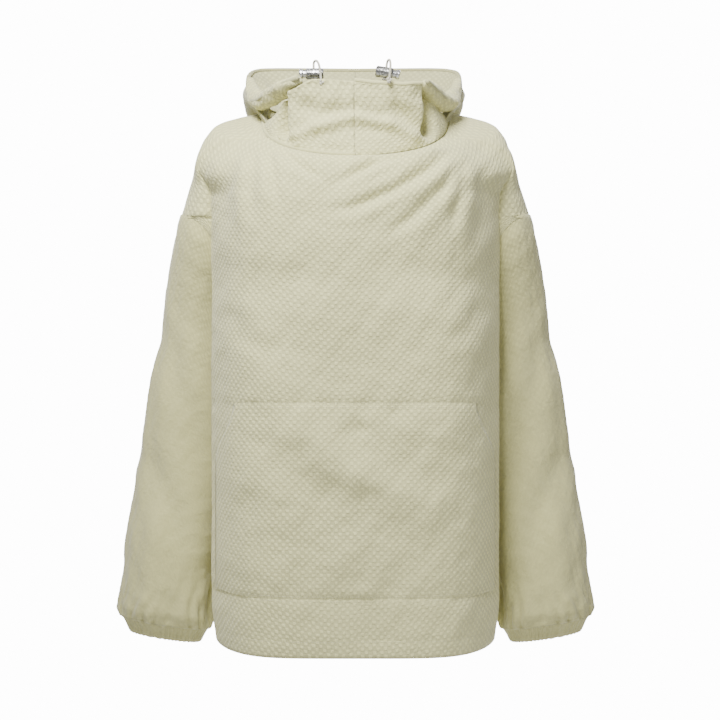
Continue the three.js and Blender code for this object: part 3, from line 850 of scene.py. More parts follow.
def back_folds(x, z):
    lift = pressed(x, z, BACK_FOLDS, BACK_HOLLOWS)
    return lift + 4.0 * ripple(x, z, 25, 200, 3) + 0.8 * ripple(x, z, 29, 48, 3)


def under_pocket(x, z):
    """1 well inside the pocket's outline, 0 outside it."""
    v = (POCKET_TOP - z) / (POCKET_TOP - POCKET_FOOT)
    inside = smooth((pocket_outline(v) - 4 - np.abs(x)) / 10)
    return inside * smooth(v / 0.05) * smooth((1 - v) / 0.05)


def face_lift(x, z):
    """How far the cloth of the front face stands out from the panel's plain shape."""
    top_seam = 0.8 * np.exp(-(((z - POCKET_TOP + 5) / 7) ** 2))
    seam = top_seam + 1.0 * np.exp(-(((z - POCKET_FOOT - 3) / 8) ** 2))
    return front_folds(x, z) + pocket_folds(x, z) * under_pocket(x, z) - seam


def panel_points(front, columns=181, rows=200):
    side = np.linspace(-1, 1, columns)[None, :] * np.ones((rows, 1))
    v = np.linspace(0, 1, rows)[:, None] * np.ones((1, columns))
    points = body_surface(side, v, front)
    x, z = points[..., 0], points[..., 2]
    lift = face_lift(x, z) - 3.5 * under_pocket(x, z) if front else back_folds(x, z)
    rim = smooth(v * 16) * smooth((1 - v) * 30) * smooth((1 - np.abs(side)) / 0.12)
    turned = HEM_TOP - 1
    if front:
        lift = lift + 0.9 * smooth((turned - z) / 5) - 0.7 * np.exp(-(((z - turned) / 2.5) ** 2))
    calm = 1 - 0.75 * smooth((np.abs(side) - 0.86 * FACE) / 0.1) * (v > YOKE)
    out = normals_of(points)
    out = out if out[rows // 2, columns // 2, 1] * (-1 if front else 1) > 0 else -out
    return points + out * (lift * rim * calm)[..., None]


def pocket_outline(v):
    """Half the pocket's width: hand openings near the top, the body's full width below."""
    return mix(POCKET_HALF, BODY_HALF - 7, smooth((v - 0.02) / 0.3))


def pocket_points(columns=111, rows=90):
    t = np.linspace(-1, 1, columns)[None, :] * np.ones((rows, 1))
    v = np.linspace(0, 1, rows)[:, None] * np.ones((1, columns))
    x = t * pocket_outline(v)
    z = mix(POCKET_TOP, POCKET_FOOT, v)
    edge_x = BODY_HALF
    y = mix(FRONT_Y, FRONT_EDGE_Y, np.clip(np.abs(x) / edge_x, 0, 1) ** FACE_POWER)
    calm = 1 - 0.75 * smooth((np.abs(x) / BODY_HALF - 0.93) / 0.07)
    swell = 3.5 * smooth(v * 5) * smooth((1 - v) * 5)
    stand = mix(-0.8, 0.9, smooth(v * 26) * smooth((1 - v) * 26))
    rise = 5 * np.clip(np.abs(x) / BODY_HALF, 0, 1) ** 3 * smooth((-560 - z) / 60)
    return stack(x, y - stand - swell - face_lift(x, z) * calm, z + rise)


def hem_points(rows=12, columns=260):
    """The turned-up hem, one closed band round the body."""
    turn = np.linspace(0, 4, columns, endpoint=False)
    rings = []
    for z, out in hem_profile(rows):
        front = turn < 2
        side = np.where(front, turn - 1, 3 - turn)
        level = np.full(columns, float(z))
        ring = np.where(front[:, None], body_ring(side, level, True), body_ring(side, level, False))
        away = ring[:, :2] / np.linalg.norm(ring[:, :2], axis=1, keepdims=True)
        ring[:, :2] += away * out
        ring[:, 2] += hem_rise(side, level)
        rings.append(ring)
    return np.array(rings)


def hem_profile(rows):
    for k in range(rows):
        t = k / (rows - 1)
        yield mix(HEM_TOP, HEM_Z + 0.2, t), -2.4 + 2.0 * max(0, t - 0.8) / 0.2


def sleeve_points(columns=168, rows=190):
    angle = np.linspace(0, math.tau, columns, endpoint=False)[None, :] * np.ones((rows, 1))
    v = np.linspace(0, 1, rows)[:, None] ** 0.94 * np.ones((1, columns))
    bent = np.minimum(angle, math.tau - angle)
    z = mix(armhole_z(bent), SLEEVE_FOOT, v) + SLEEVE_TUCK_IN * (1 - smooth(v * 60))
    points = sleeve_section(angle, z)
    points = mix(points, points.mean(axis=1, keepdims=True), 0.03 * (1 - smooth(v * 70))[..., None])
    around = points[..., 0] * 0.9 + points[..., 1] * 1.4
    lift = 2.6 * ripple(around, z * 0.5, 33, 130, 3) + 0.7 * ripple(around, z, 37, 40, 3)
    lift += pressed(points[..., 0], z, SLEEVE_FOLDS) * (np.sin(angle) > 0)
    gather = smooth((z - SLEEVE_FOOT) / 46)
    near = (1 - smooth((z - SLEEVE_FOOT - 6) / 85)) * smooth((z - SLEEVE_FOOT) / 10)
    arc = angle * 52
    lift += near * (4.0 * ripple(arc, z * 0.22, 41, 44, 2) + 1.2 * ripple(arc, z * 0.3, 45, 15, 2))
    lift += gathers(angle, z - SLEEVE_FOOT)
    rim = smooth(v * 22)
    out = normals_of(points, True)
    middle = points.mean(axis=1, keepdims=True)
    out = facing(out, points, middle)
    points = points + out * (lift * rim * mix(0.6, 1, gather))[..., None]
    points[..., 2] += CUFF_TILT * (points[..., 0] - CUFF_X) * smooth(v * 8 - 7)
    return points


def gathers(angle, rise, count=17):
    """Sharp creases that run up the sleeve from its elastic, with soft puffs between them."""
    draw = np.random.default_rng(71)
    turns = (np.arange(count) + draw.uniform(-0.35, 0.35, count)) * math.tau / count
    lift = np.zeros(np.broadcast(angle, rise).shape)
    for turn in turns:
        tall, lean, deep = draw.uniform(18, 62), draw.uniform(-0.16, 0.16), draw.uniform(2.4, 4.6)
        climb = np.clip(rise / tall, 0, 1)
        away = np.abs((angle - turn - lean * climb + math.pi) % math.tau - math.pi) * 60
        width = 2.4 + 4.5 * climb
        crease = np.exp(-(away / width) ** 2) - 0.55 * np.exp(-((away / width - 2.1) ** 2))
        lift -= deep * crease * (1 - climb) ** 0.8 * smooth(rise / 3)
    return lift


def cuff_points(columns=240, rows=14):
    """The cuff's casing: a narrow puckered band folded round its elastic."""
    angle = np.linspace(0, math.tau, columns, endpoint=False)[None, :] * np.ones((rows, 1))
    v = np.linspace(0, 1, rows)[:, None] * np.ones((1, columns))
    wave = np.sin(20 * angle + 2.2 * np.sin(3 * angle) + np.sin(7 * angle))
    pucker = (1 - 2 * np.abs(wave) ** 0.7) * smooth(v * 5) * (0.55 + 0.45 * v)
    bulge = 1.5 * pucker - 1.0 * smooth((v - 0.85) / 0.15)
    flare = (CUFF_FLARE - 1) * (1 - v) ** 1.3 - 1.2 + bulge
    x = CUFF_X + (CUFF_HALF + flare) * np.cos(angle)
    y = CUFF_Y - (CUFF_DEPTH + flare) * np.sin(angle)
    z = mix(SLEEVE_FOOT + 4, CUFF_FOOT + 0.6, v) + 0.8 * pucker * v
    return stack(x, y, z + CUFF_TILT * (x - CUFF_X))


def even(path, count):
    """The same path with its points evenly spaced."""
    run = run_along(path)
    return values_at(np.linspace(0, run[-1], count), run, path)


def curve_through(points, count):
    """A smooth path through points, evenly spaced."""
    points = np.asarray(points, float)
    ends = np.concatenate([[2 * points[0] - points[1]], points, [2 * points[-1] - points[-2]]])
    t = np.linspace(0, 1, 14, endpoint=False)[:, None]
    parts = []
    for a, b, c, d in zip(ends[:-3], ends[1:-2], ends[2:-1], ends[3:]):
        parts.append(0.5 * (2 * b + (c - a) * t + (2 * a - 5 * b + 4 * c - d) * t * t
                            + (3 * b - a - 3 * c + d) * t ** 3))
    return even(np.concatenate(parts + [points[-1:]]), count)


COLLAR_HEIGHTS = ((-110, 8), (-96, 10), (-89, 16), (-70, 27), (-54, 34), (-30, 33), (0, 31), (25, 28),
                  (60, 26), (80, 29), (88, 31), (94, 20), (110, 8))


def collar_head(count):
    """The collar's top edge: flat across the front, sharply folded at both sides."""
    a = np.linspace(-math.pi / 2, math.pi / 2, 4001)
    x = 90 * np.sign(a) * np.abs(np.sin(a)) ** 0.3
    y = 14 - 114 * np.cos(a) ** 0.3
    back = smooth((y + 88) / 60)
    xs, zs = zip(*COLLAR_HEIGHTS)
    z = np.interp(x, xs, zs) - 12 * back
    return even(np.stack([x + np.sign(x) * 8 * back, y, z], axis=1), count)


def collar_points(columns=161, rows=44):
    side = np.linspace(-1, 1, 2001)
    foot = neckline(side * 0.985, True)
    foot = even(foot, columns) * np.array([0.985, 0.985, 1]) + np.array([0, 0, 1.0])
    head = collar_head(columns)
    v = np.linspace(0, 1, rows)[:, None, None]
    t = np.abs(np.linspace(-1, 1, columns))[None, :, None]
    climb = mix(v, smooth(v / 0.22), smooth((t - 0.3) / 0.14))
    climb = mix(climb, v ** 2.2, smooth((t - 0.49) / 0.12))
    points = np.concatenate([mix(foot[None, :, :2], head[None, :, :2], climb),
                             mix(foot[None, :, 2:], head[None, :, 2:], v)], axis=-1)
    dip = (np.exp(-((t - 0.52) / 0.035) ** 2) * smooth(v / 0.3))[..., 0]
    side = np.sign(points[..., 0])
    points[..., 0] -= side * dip * 12
    points[..., 1] += dip * 14
    facing_front = smooth((-points[..., 1] - 40) / 40)[..., None]
    points[..., 1:2] += np.sin(v * math.pi) * 5 * facing_front
    corner = (np.exp(-((t - 0.445) / 0.03) ** 2) * smooth((v - 0.12) / 0.3))[..., 0]
    points[..., 0] += side * corner * 4
    x, z = points[..., 0], points[..., 2]
    lift = pressed(x, z, COLLAR_FOLDS) + 1.6 * ripple(x, z, 43, 70, 3) + 0.5 * ripple(x, z, 47, 30, 2)
    rim = smooth(v[..., 0] * 10) * smooth((1 - v[..., 0]) * 14)
    seam = 0.75 * np.exp(-(x / 1.6) ** 2)
    out = normals_of(points)
    out = out if out[rows // 2, columns // 2, 1] < 0 else -out
    return points + out * (lift * rim * facing_front[..., 0] - seam)[..., None]


RIM_SIDES = {
    1: ((0, 117, 91), (60, 119, 92), (109, 118, 92), (132, 107, 88), (142, 86, 79), (143, 58, 58),
        (139, 24, 36), (132, -12, 21), (119, -42, 19), (104, -70, 26), (91, -93, 32)),
    -1: ((0, 117, 91), (-60, 119, 92), (-114, 118, 92), (-138, 106, 88), (-147, 82, 77), (-147, 50, 58),
         (-142, 12, 34), (-133, -16, 22), (-117, -48, 23), (-95, -80, 30), (-72, -97, 35)),
}
HOOD_REACH = 0.68
ROLL_CLOSE = 0.93


def hood_line(sign, columns):
    """The hood's rim from the centre back to the side of the neck, and how far back each point lies."""
    rim = curve_through(RIM_SIDES[sign], 400)
    rim = even(rim[:int(400 * HOOD_REACH)], columns)
    t = np.linspace(0, 1, columns)
    return rim, t, 1 - smooth((t - 0.42) / 0.42)


def hood_foot(sign, t):
    """Where the hood meets the neckline seam, from the centre back round to beside the neck."""
    behind = neckline(sign * np.clip(t / 0.84, 0, 1), False)
    ahead = neckline(sign * (1 - np.clip((t - 0.84) / 0.16, 0, 1) * 0.2), True)
    return np.where((t > 0.84)[:, None], ahead, behind)


def hood_inner(sign, rim, t, back, rows):
    """The sections of the hood's inner face, from the rim down to the neckline."""
    foot = hood_foot(sign, t) * np.array([0.94, 0.94, 1]) + np.array([0, 0, 7.0])
    middle = mix(foot, rim, 0.55) - stack(0 * t, 6 * back, mix(0, 14, back))
    sections = [curve_through((rim[k], middle[k], foot[k]), rows) for k in range(len(t))]
    return np.array(sections).transpose(1, 0, 2)


def hood_half(sign, columns=90, rows=64):
    """Half of the fallen hood, from its rim down the outside, under and up to the neck seam."""
    rim, t, back = hood_line(sign, columns)
    foot = hood_foot(sign, t) + stack(0 * t, mix(-3, 4, back), mix(2, 5, back))
    plan = rim * np.array([1, 1, 0])
    away = plan / np.linalg.norm(plan, axis=1, keepdims=True)
    outside = rim + away * mix(5, 7, back)[:, None] + stack(0 * t, 30 * back, mix(-9, -78, back))
    bottom = mix(rim + stack(0 * t, 0 * t, mix(-18, -60, back)),
                 stack(rim[:, 0] * 0.9, 146 + 0 * t, -96 + 20 * (rim[:, 0] / 150) ** 2), back[:, None])
    bottom[:, 2] = np.maximum(bottom[:, 2], ridge_floor(bottom))
    inside = mix(foot, bottom, 0.5) + stack(0 * t, 16 * back, 22 * back)
    sections = [curve_through((rim[k], outside[k], bottom[k], inside[k], foot[k]), rows)
                for k in range(columns)]
    points = np.array(sections).transpose(1, 0, 2)
    closing = smooth((1 - t) / 0.14)[None, :, None]
    points = mix(hood_inner(sign, rim, t, back, rows), points, closing)
    v = np.linspace(0, 1, rows)[:, None]
    out = facing(normals_of(points), points, points.mean(axis=(0, 1)))
    around, z = points[..., 0] + points[..., 1], points[..., 2]
    lift = 6.5 * ripple(around, z, 53, 110, 3) * (0.25 + 0.75 * back)
    lift += 0.9 * ripple(around, z, 57, 40, 3)
    hold = smooth(v * 7) * smooth((1 - v) * 9) * smooth(t * 30) * smooth((1 - t) * 8)
    return points + out * (lift * hold)[..., None]


def ridge_floor(points):
    """The height of the shoulder under a point, plus a little."""
    x = np.abs(points[:, 0])
    over = np.interp(x, (0, 112, 165, 200, 230), (-200, 12, 4, -30, -90))
    return np.where(points[:, 1] > 100, -200, over + 5)


def hood_lining(sign, columns=90, rows=26):
    """The inner face of the hood, from its rim down into the neck."""
    rim, t, back = hood_line(sign, columns)
    points = hood_inner(sign, rim, t, back, rows)
    v = np.linspace(0, 1, rows)[:, None]
    out = normals_of(points)
    lift = 3.0 * ripple(points[..., 0] + points[..., 1], points[..., 2], 63, 90, 3)
    hold = smooth(v * 6) * smooth((1 - v) * 8) * smooth(t * 30) * smooth((1 - t) * 8)
    return points + out * (lift * hold)[..., None]


def roll_points(sign, columns=24, rows=96):
    """The soft roll of cloth inside the rim at the side of the neck."""
    rim = curve_through(RIM_SIDES[sign], 200)[96:199]
    path = even(rim, rows)
    t = np.linspace(0, 1, rows)
    plan = path * np.array([1, 1, 0])
    away = plan / np.linalg.norm(plan, axis=1, keepdims=True)
    fat = 4 + 6.5 * smooth(t / 0.45) - 2.5 * smooth((t - 0.85) / 0.1)
    closing = np.maximum((t - ROLL_CLOSE) / (1 - ROLL_CLOSE), (1 - ROLL_CLOSE - t) / (1 - ROLL_CLOSE))
    fat = fat * np.sqrt(1 - np.clip(closing, 0, 0.998) ** 2)
    path = path - away * (fat * 0.95)[:, None] + stack(0 * t, 0 * t, 1 - 2 * t)
    ahead = np.gradient(path, axis=0)
    ahead /= np.linalg.norm(ahead, axis=1, keepdims=True)
    up = np.array([0, 0, 1.0])
    side = np.cross(ahead, up)
    side /= np.linalg.norm(side, axis=1, keepdims=True)
    over = np.cross(side, ahead)
    angle = np.linspace(0, math.tau, columns, endpoint=False)
    ring = side[:, None] * np.cos(angle)[None, :, None] * 1.15
    ring = ring + over[:, None] * np.sin(angle)[None, :, None]
    wrinkle = 1 + 0.1 * np.sin(3 * angle[None, :] + t[:, None] * 9) + 0.06 * np.sin(t[:, None] * 40)
    return path[:, None] + ring * (fat[:, None] * wrinkle)[..., None]


# ------------------------------------------------------------------ settings


def colour_setting(name, description, default):
    return FloatVectorProperty(name=name, description=description, subtype="COLOR",
                               size=3, min=0, max=1, default=default)


def length_setting(name, description, default, least):
    return FloatProperty(name=name, description=description, subtype="DISTANCE", unit="LENGTH",
                         default=default, min=least)


class SmockSettings(bpy.types.PropertyGroup):
    cloth_colour: colour_setting(
        "Cloth colour", "Colour of the body and collar", (0.652, 0.628, 0.312))
    # the cloth colour darkened as painted shade on the sleeves and cuffs
    sleeve_shaded_colour: colour_setting(
        "Sleeve colour", "Colour of the sleeves and cuffs", (0.556, 0.530, 0.240))
    # the cloth colour darkened as painted shade on the fallen hood and its rim casing
    hood_shaded_colour: colour_setting(
        "Hood colour", "Colour of the fallen hood", (0.480, 0.463, 0.242))
    thread_colour: colour_setting(
        "Thread colour", "Colour of the stitching", (0.60, 0.575, 0.34))
    cord_colour: colour_setting(
        "Cord colour", "Colour of the drawcord", (0.68, 0.65, 0.52))
    weave_width: length_setting(
        "Weave width", "Distance between blisters along a row", 0.0094, 0.002)
    weave_height: length_setting(
        "Weave height", "Distance between rows of blisters", 0.0047, 0.001)
    blister_depth: length_setting(
        "Blister depth", "How far the blisters stand out of the cloth", 0.0006, 0)
    stitch_gap: length_setting(
        "Stitch spacing", "Distance from one stitch to the next", 0.0034, 0.001)
    camera_distance: length_setting(
        "Camera distance", "Distance from the camera to the smock", 2.0, 0.5)
    camera_angle: FloatProperty(
        name="Camera angle", description="Width of the camera's view", subtype="ANGLE",
        unit="ROTATION", default=math.radians(26.927), min=0.1, max=2.0)
    lamp_power: FloatProperty(
        name="Key light", description="Power of the main soft light", subtype="POWER",
        unit="POWER", default=49.0, min=0)
    surround: FloatProperty(
        name="Surround light", description="Strength of the even light from all round",
        default=0.262, min=0)
    backdrop: FloatProperty(
        name="Backdrop light", description="Strength of the bright backdrop", default=14.0, min=0)


MATERIALS = {}
ELASTIC = (0.72, 0.69, 0.56)
FLOOR_PAINT = (0.9, 0.9, 0.9)

# Plated metals: the dark and light colours of their painted reflections, and roughness
LOCK_PLATE = ((0.16, 0.16, 0.15), (0.52, 0.52, 0.50), 0.3)
BUTTON_PLATE = ((0.45, 0.45, 0.44), (0.8, 0.8, 0.79), 0.22)
NICKEL = ((0.42, 0.41, 0.4), (0.72, 0.71, 0.7), 0.25)


def material(kind):
    """Makes each material once."""
    made = MATERIALS.get(kind)
    if made:
        return made
    s = settings()
    weave = (s.weave_width, s.weave_height)
    depth = s.blister_depth
    makers = {
        "cloth": (cloth_material, "blister cloth", tuple(s.cloth_colour), weave, depth),
        # sleeve cloth: the same cloth, with painted shade in its darker colour
        "sleeve": (cloth_material, "sleeve cloth", tuple(s.sleeve_shaded_colour), weave, depth * 0.5),
        # hood cloth: the same cloth, with painted shade in its darker colour
        "hood": (cloth_material, "hood cloth", tuple(s.hood_shaded_colour), weave, depth * 0.3),
        "thread": (thread_material, "sewing thread", tuple(s.thread_colour)),
        "cord": (cord_material, "braided cord", tuple(s.cord_colour)),
        "elastic": (elastic_material, "woven elastic", ELASTIC),
        "lock": (plated_material, "plated lock", *LOCK_PLATE),
        "button": (plated_material, "bright button", *BUTTON_PLATE),
        "metal": (plated_material, "nickel", *NICKEL),
        "floor": (stage_material, "pale floor", FLOOR_PAINT),
    }
    maker, *values = makers[kind]
    MATERIALS[kind] = maker(*values)
    return MATERIALS[kind]


# ------------------------------------------------------------------ pieces


def both_sides():
    return (("left", 1), ("right", -1))


def declare(points, closed=False):
    """Measures a cloth piece's flat size along its own grid, without keeping it."""
    grid = np.concatenate([points, points[:, :1]], axis=1) if closed else points
    wide = float(np.linalg.norm(np.diff(grid, axis=1), axis=-1).sum(axis=1).max()) * MM
    tall = float(np.linalg.norm(np.diff(grid, axis=0), axis=-1).sum(axis=0).max()) * MM
    area = min(area_of(points, closed), wide * tall)
    area = max(area, 0.3 * wide * tall)


def sew(name, points, out, rides, stands_for=None, kind="cloth",
        closed=False, thickness=CLOTH_WALL, puff=1.0):
    """Makes one cloth piece: its mesh and finish, attached to a body when rides names one and otherwise
    fixed in place, hiding the node it stands for; its flat size is measured but not kept.
    """
    piece = cloth_grid(name, points, out, closed, thickness, puff)
    piece.data.materials.append(material(kind))
    if isinstance(rides, str):
        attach(piece, rides)
    else:
        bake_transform(piece)
    if stands_for:
        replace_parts(piece, stands_for)
    declare(points, closed)


class SMOCK_OT_body(bpy.types.Operator):
    """Makes the front and back panels, the pocket, the hem and the neck tape"""
    bl_idname = "smock.body"
    bl_label = "Body"

    def execute(self, context):
        for name, front in (("front_panel", True), ("back_panel", False)):
            middle = np.array([0, 0, -350])
            sew(f"cloth_{name}", panel_points(front), middle, "body", name)
        sew("cloth_pocket", pocket_points(), np.array([0, 0, -500]), "body",
            "pocket")
        sew("cloth_hem", hem_points(), np.array([0, 0, -680]), "body", "hem_band",
            closed=True, thickness=HEM_WALL)
        sew("cloth_neck_tape", tape_points(), np.array([0, 0, -20]), "body",
            "neck_tape", closed=True)
        return {"FINISHED"}


def tape_points(columns=160, rows=5):
    """The tape behind the neckline seam."""
    turn = np.linspace(0, 4, columns, endpoint=False)
    front = turn < 2
    side = np.where(front, turn - 1, 3 - turn)
    seam = np.where(front[:, None], neckline(side, True), neckline(side, False))
    inside = seam * np.array([0.955, 0.955, 1])
    return np.array([inside + np.array([0, 0, rise]) for rise in np.linspace(9, -3, rows)])


class SMOCK_OT_sleeves(bpy.types.Operator):
    """Makes both sleeves and their cuff casings"""
    bl_idname = "smock.sleeves"
    bl_label = "Sleeves"

    def execute(self, context):
        sleeve, cuff = sleeve_points(), cuff_points()
        for side, sign in both_sides():
            place = np.array([sign, 1, 1])
            points = sleeve * place
            start = ARM_BLEND_START * place
            rides = ("body", f"{side}_arm", start.tolist(), (start + ARM_BLEND_WAY * place).tolist())
            weave_puff_and_shade = mix(0.12, 0.6, smooth((points[..., 2] + 430) / 260))
            sew(f"cloth_{side}_sleeve", points, points.mean(axis=1, keepdims=True), rides,
                f"{side}_sleeve", kind="sleeve", closed=True, puff=weave_puff_and_shade)
            points = cuff * place
            sew(f"cloth_{side}_cuff", points, points.mean(axis=1, keepdims=True), f"{side}_arm",
                f"{side}_cuff", kind="sleeve", closed=True,
                thickness=CUFF_WALL, puff=0.1)
        return {"FINISHED"}


class SMOCK_OT_collar(bpy.types.Operator):
    """Makes the standing collar in its two halves, with their casings"""
    bl_idname = "smock.collar"
    bl_label = "Collar"

    def execute(self, context):
        whole = collar_points()
        middle = whole.shape[1] // 2
        for side, points in (("left", whole[:, middle:]), ("right", whole[:, :middle + 1])):
            sew(f"cloth_{side}_collar", points, np.array([0, 30, 0]), "body",
                f"{side}_collar")
            edge = points[0 if points[0, 0, 2] > points[-1, 0, 2] else -1]
            line = even(edge, 90) + np.array([0, 1.5, 1.2])
            casing = tube_mesh(f"casing_{side}_collar", line, CASING_RADIUS, 14)
            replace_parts(finish(casing, material("cloth"), "body"), f"{side}_collar_casing")
        return {"FINISHED"}


class SMOCK_OT_hood(bpy.types.Operator):
    """Makes the fallen hood: two halves, their linings, the rim casing and the rolls at the sides"""
    bl_idname = "smock.hood"
    bl_label = "Hood"

    def execute(self, context):
        rides = ("body", "hood", *HOOD_BLEND)
        for side, sign in both_sides():
            outer, lining, roll = hood_half(sign), hood_lining(sign), roll_points(sign)
            sew(f"cloth_{side}_hood", outer, outer.mean(axis=(0, 1)), rides,
                f"{side}_hood", kind="hood")
            sew(f"cloth_{side}_hood_lining", lining, np.array([0, 60, -60]), rides,
                kind="hood")
            sew(f"cloth_{side}_roll", roll, roll.mean(axis=1, keepdims=True), rides,
                closed=True)
        right, left = (curve_through(RIM_SIDES[sign], 160) for sign in (-1, 1))
        rim = even(np.concatenate([right[::-1], left[1:]]), 260) + np.array([0, 0, 0.6])
        casing = tube_mesh("casing_hood_rim", rim, RIM_CASING_RADIUS, 14)
        casing.data.materials.append(material("hood"))
        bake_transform(casing)
        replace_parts(casing, "hood_rim_casing", "hood_drawcord")
        return {"FINISHED"}


class SMOCK_OT_seams(bpy.types.Operator):
    """Sews the rows of stitching along the pocket, hem and neckline"""
    bl_idname = "smock.seams"
    bl_label = "Seams"

    def execute(self, context):
        gap = settings().stitch_gap / MM
        pocket, front, back = pocket_points(), panel_points(True), panel_points(False)
        lift = np.array([0, -0.7, 0])
        lines = [pocket[1, 4:-4] + lift, pocket[3, 4:-4] + lift, pocket[-3, 2:-2] + lift,
                 pocket[-2, 2:-2] + np.array([0, -0.3, -3.2]) + lift]
        ups = [np.tile(np.array([0, -1.0, 0]), (len(line), 1)) for line in lines]
        rows = {"pocket": (lines, ups)}
        for name, points in (("hem_front", front), ("hem_back", back)):
            at = int(np.abs(points[:, points.shape[1] // 2, 2] - HEM_TOP + 1).argmin())
            row, out = points[at, 3:-3], normals_of(points)[at, 3:-3]
            out = out * np.sign(out[len(out) // 2, 1] * row[len(row) // 2, 1])
            rows[name] = ([row + out * STITCH_HEIGHT], [out])
        row, out = front[3, 6:-6], normals_of(front)[3, 6:-6]
        out = out * (1 if out[len(out) // 2, 1] < 0 else -1)
        rows["neckline"] = ([row + out * STITCH_HEIGHT], [out])
        for name, (lines, ups) in rows.items():
            piece = stitch_row(f"stitches_{name}", lines, ups, gap)
            finish(piece, material("thread"), "body")
        return {"FINISHED"}


# Each tail's centreline from its eyelet, in its lock's own directions
TAIL_RISE = ((0, 0, 6.4), (0, 0, 13), (0, 0, 20), (0, 0, 25), (0, 0, 28))
TAILS = {
    "left": TAIL_RISE + ((0.6, -2, 30.6), (2.2, -6.2, 31), (4, -10, 27.6), (5.4, -11.6, 20),
                         (6, -11.8, 12), (6, -11.8, 6)),
    "right": TAIL_RISE + ((1, -2, 30.6), (3.6, -6.2, 30.6), (6.4, -10, 26.4), (8.4, -11.6, 18),
                          (9.4, -11.8, 10), (10, -11.8, 4)),
}


def tail_path(side):
    """A cord tail's centreline in millimetres: out of its eyelet, up through its lock and over."""
    eye_low, eye_high = millimetres(f"{side}_eyelet")
    foot = (eye_low + eye_high) / 2
    lean = LEFT_LEAN if side == "left" else 0
    route = curve_through(TAILS[side], 60) - np.array(TAIL_RISE[0])
    x = route[:, 0] * math.cos(lean) + route[:, 2] * math.sin(lean)
    z = route[:, 2] * math.cos(lean) - route[:, 0] * math.sin(lean)
    return stack(x, route[:, 1], z) + foot


def knot_path(end, way, size=2.0):
    """A trefoil laid round the cord's end."""
    t = np.linspace(0, math.tau, 72, endpoint=False)
    x = np.sin(t) + 2 * np.sin(2 * t)
    y = np.cos(t) - 2 * np.cos(2 * t)
    z = -np.sin(3 * t) * 1.1
    return np.stack([x, z, y], axis=1) * size * 0.48 + end + way * size * 0.9


class SMOCK_OT_cords(bpy.types.Operator):
    """Makes both drawcord tails with their knots"""
    bl_idname = "smock.cords"
    bl_label = "Cords"

    def execute(self, context):
        for side, _ in both_sides():
            path = tail_path(side)
            piece = tube_mesh(f"cord_{side}_tail", path, CORD_RADIUS, 14)
            finish(piece, material("cord"), "body")
            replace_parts(piece, f"{side}_tail")
            way = (path[-1] - path[-2]) / np.linalg.norm(path[-1] - path[-2])
            knot = tube_mesh(f"cord_{side}_knot", knot_path(path[-1], way), KNOT_CORD_RADIUS, 10,
                             closed=True)
            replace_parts(finish(knot, material("cord"), "body"), f"{side}_knot")
            (path[0] * MM).tolist()
            [p.tolist() for p in path * MM]
        return {"FINISHED"}


def spring_path(side, sign):
    """The coil inside a lock, with the end it is pressed towards and its axis."""
    low, high = millimetres(f"{side}_lock_spring")
    lean = LEFT_LEAN if sign > 0 else 0
    axis = np.array([math.cos(lean) * sign, 0, -math.sin(lean)])
    up = np.array([math.sin(lean), 0, math.cos(lean)])
    t = np.linspace(0, 1, 90)[:, None]
    turn = t * SPRING_TURNS * math.tau
    start = (low + high) / 2 - axis * SPRING_LENGTH / 2
    coil = SPRING_RADIUS * (np.cos(turn) * np.array([0, 1.0, 0]) + np.sin(turn) * up)
    return start + axis * t * SPRING_LENGTH + coil, start, axis


class SMOCK_OT_springs(bpy.types.Operator):
    """Makes the coil springs inside the cord locks"""
    bl_idname = "smock.springs"
    bl_label = "Springs"

    def execute(self, context):
        for side, sign in both_sides():
            path, start, axis = spring_path(side, sign)
            piece = tube_mesh(f"spring_{side}", path, SPRING_WIRE, 8)
            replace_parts(finish(piece, material("metal"), f"{side}_lock"), f"{side}_lock_spring")
            (start * MM).tolist()
            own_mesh(piece)
        return {"FINISHED"}


class SMOCK_OT_finishes(bpy.types.Operator):
    """Gives the carried-over hardware its finishes"""
    bl_idname = "smock.finishes"
    bl_label = "Hardware finishes"

    def execute(self, context):
        kinds = {"lock_barrel": "lock", "lock_plunger": "button", "eyelet": "metal",
                 "cuff_elastic": "elastic"}
        for side, _ in both_sides():
            for part, kind in kinds.items():
                node = bpy.data.objects[f"{side}_{part}"]
                for slot in node.material_slots:
                    slot.link = "OBJECT"
                    slot.material = material(kind)
        return {"FINISHED"}


def soft_lamp(name, place, aim, size, power):
    bpy.ops.object.light_add(type="AREA", location=place)
    lamp = bpy.context.object
    lamp.name = name
    lamp.data.shape = "SQUARE"
    lamp.data.size = size
    lamp.data.energy = power
    lamp.rotation_euler = (Vector(aim) - Vector(place)).to_track_quat("-Z", "Y").to_euler()


def studio_world(surround, backdrop):
    """A soft even surround with a bright backdrop behind the smock."""
    world = bpy.data.worlds.new("studio")
    world.use_nodes = True
    tree = world.node_tree
    shader = tree.nodes["Background"]
    way = tree.nodes.new("ShaderNodeTexCoord")
    split = tree.nodes.new("ShaderNodeSeparateXYZ")
    near = tree.nodes.new("ShaderNodeMapRange")
    near.interpolation_type = "SMOOTHSTEP"
    for socket, value in zip((1, 2, 3, 4), (*BACKDROP_EDGE, surround, backdrop)):
        near.inputs[socket].default_value = value
    tree.links.new(way.outputs["Generated"], split.inputs[0])
    tree.links.new(split.outputs["Y"], near.inputs[0])
    tree.links.new(near.outputs[0], shader.inputs["Strength"])
    shader.inputs["Color"].default_value = (1, 1, 1, 1)
    return world


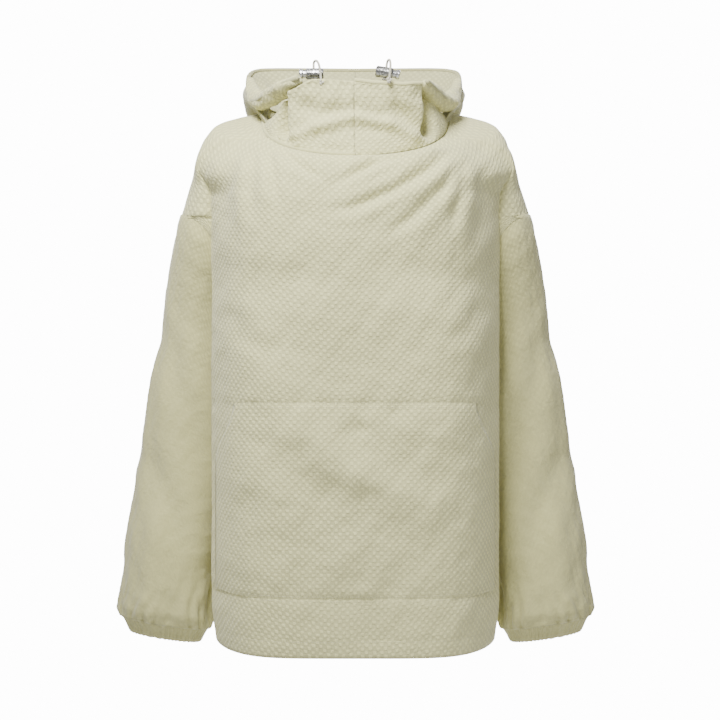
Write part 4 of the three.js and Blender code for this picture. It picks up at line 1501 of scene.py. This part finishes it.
class SMOCK_OT_stage(bpy.types.Operator):
    """Sets the floor, the soft studio light and the camera"""
    bl_idname = "smock.stage"
    bl_label = "Stage"

    def execute(self, context):
        s = settings()
        floor_z = CAD_BOX[0][2] - FLOOR_DROP
        bpy.ops.object.select_all(action="DESELECT")
        bpy.ops.mesh.primitive_plane_add(size=FLOOR_SIZE, location=(0, 0, floor_z))
        floor = context.object
        floor.name = "floor"
        bpy.ops.object.transform_apply(location=True, rotation=False, scale=False)
        floor.data.materials.append(material("floor"))
        context.scene.world = studio_world(s.surround, s.backdrop)
        for name, lamp in LAMPS.items():
            soft_lamp(name, lamp["place"], lamp["aim"], lamp["size"], s.lamp_power * lamp["share"])
        bpy.ops.object.camera_add(location=(CAMERA_X, -s.camera_distance, CAMERA_Z),
                                  rotation=(math.pi / 2, 0, 0))
        camera = context.object
        camera.data.sensor_width = SENSOR_WIDTH
        camera.data.angle = s.camera_angle
        camera.data.shift_y = CAMERA_SHIFT
        camera.data.clip_start = 0.01
        context.scene.camera = camera
        return {"FINISHED"}


class SMOCK_PT_panel(bpy.types.Panel):
    """Buttons and settings of the smock"""
    bl_label = "Smock"
    bl_idname = "SMOCK_PT_panel"
    bl_space_type = "VIEW_3D"
    bl_region_type = "UI"
    bl_category = "Smock"

    def draw(self, context):
        column = self.layout.column()
        for name in SmockSettings.__annotations__:
            column.prop(context.scene.smock, name)
        for operator in OPERATORS:
            column.operator(operator.bl_idname)


OPERATORS = (SMOCK_OT_stage, SMOCK_OT_cords, SMOCK_OT_springs, SMOCK_OT_body, SMOCK_OT_sleeves,
             SMOCK_OT_collar, SMOCK_OT_hood, SMOCK_OT_seams, SMOCK_OT_finishes)
CLASSES = (SmockSettings, *OPERATORS, SMOCK_PT_panel)


def register():
    for item in CLASSES:
        bpy.utils.register_class(item)
    bpy.types.Scene.smock = PointerProperty(type=SmockSettings)


def unregister():
    del bpy.types.Scene.smock
    for item in reversed(CLASSES):
        bpy.utils.unregister_class(item)


def main():
    register()
    bpy.ops.smock.stage()
    bpy.ops.smock.cords()
    bpy.ops.smock.springs()
    bpy.ops.smock.body()
    bpy.ops.smock.sleeves()
    bpy.ops.smock.collar()
    bpy.ops.smock.hood()
    bpy.ops.smock.seams()
    bpy.ops.smock.finishes()


if __name__ == "__main__":
    main()
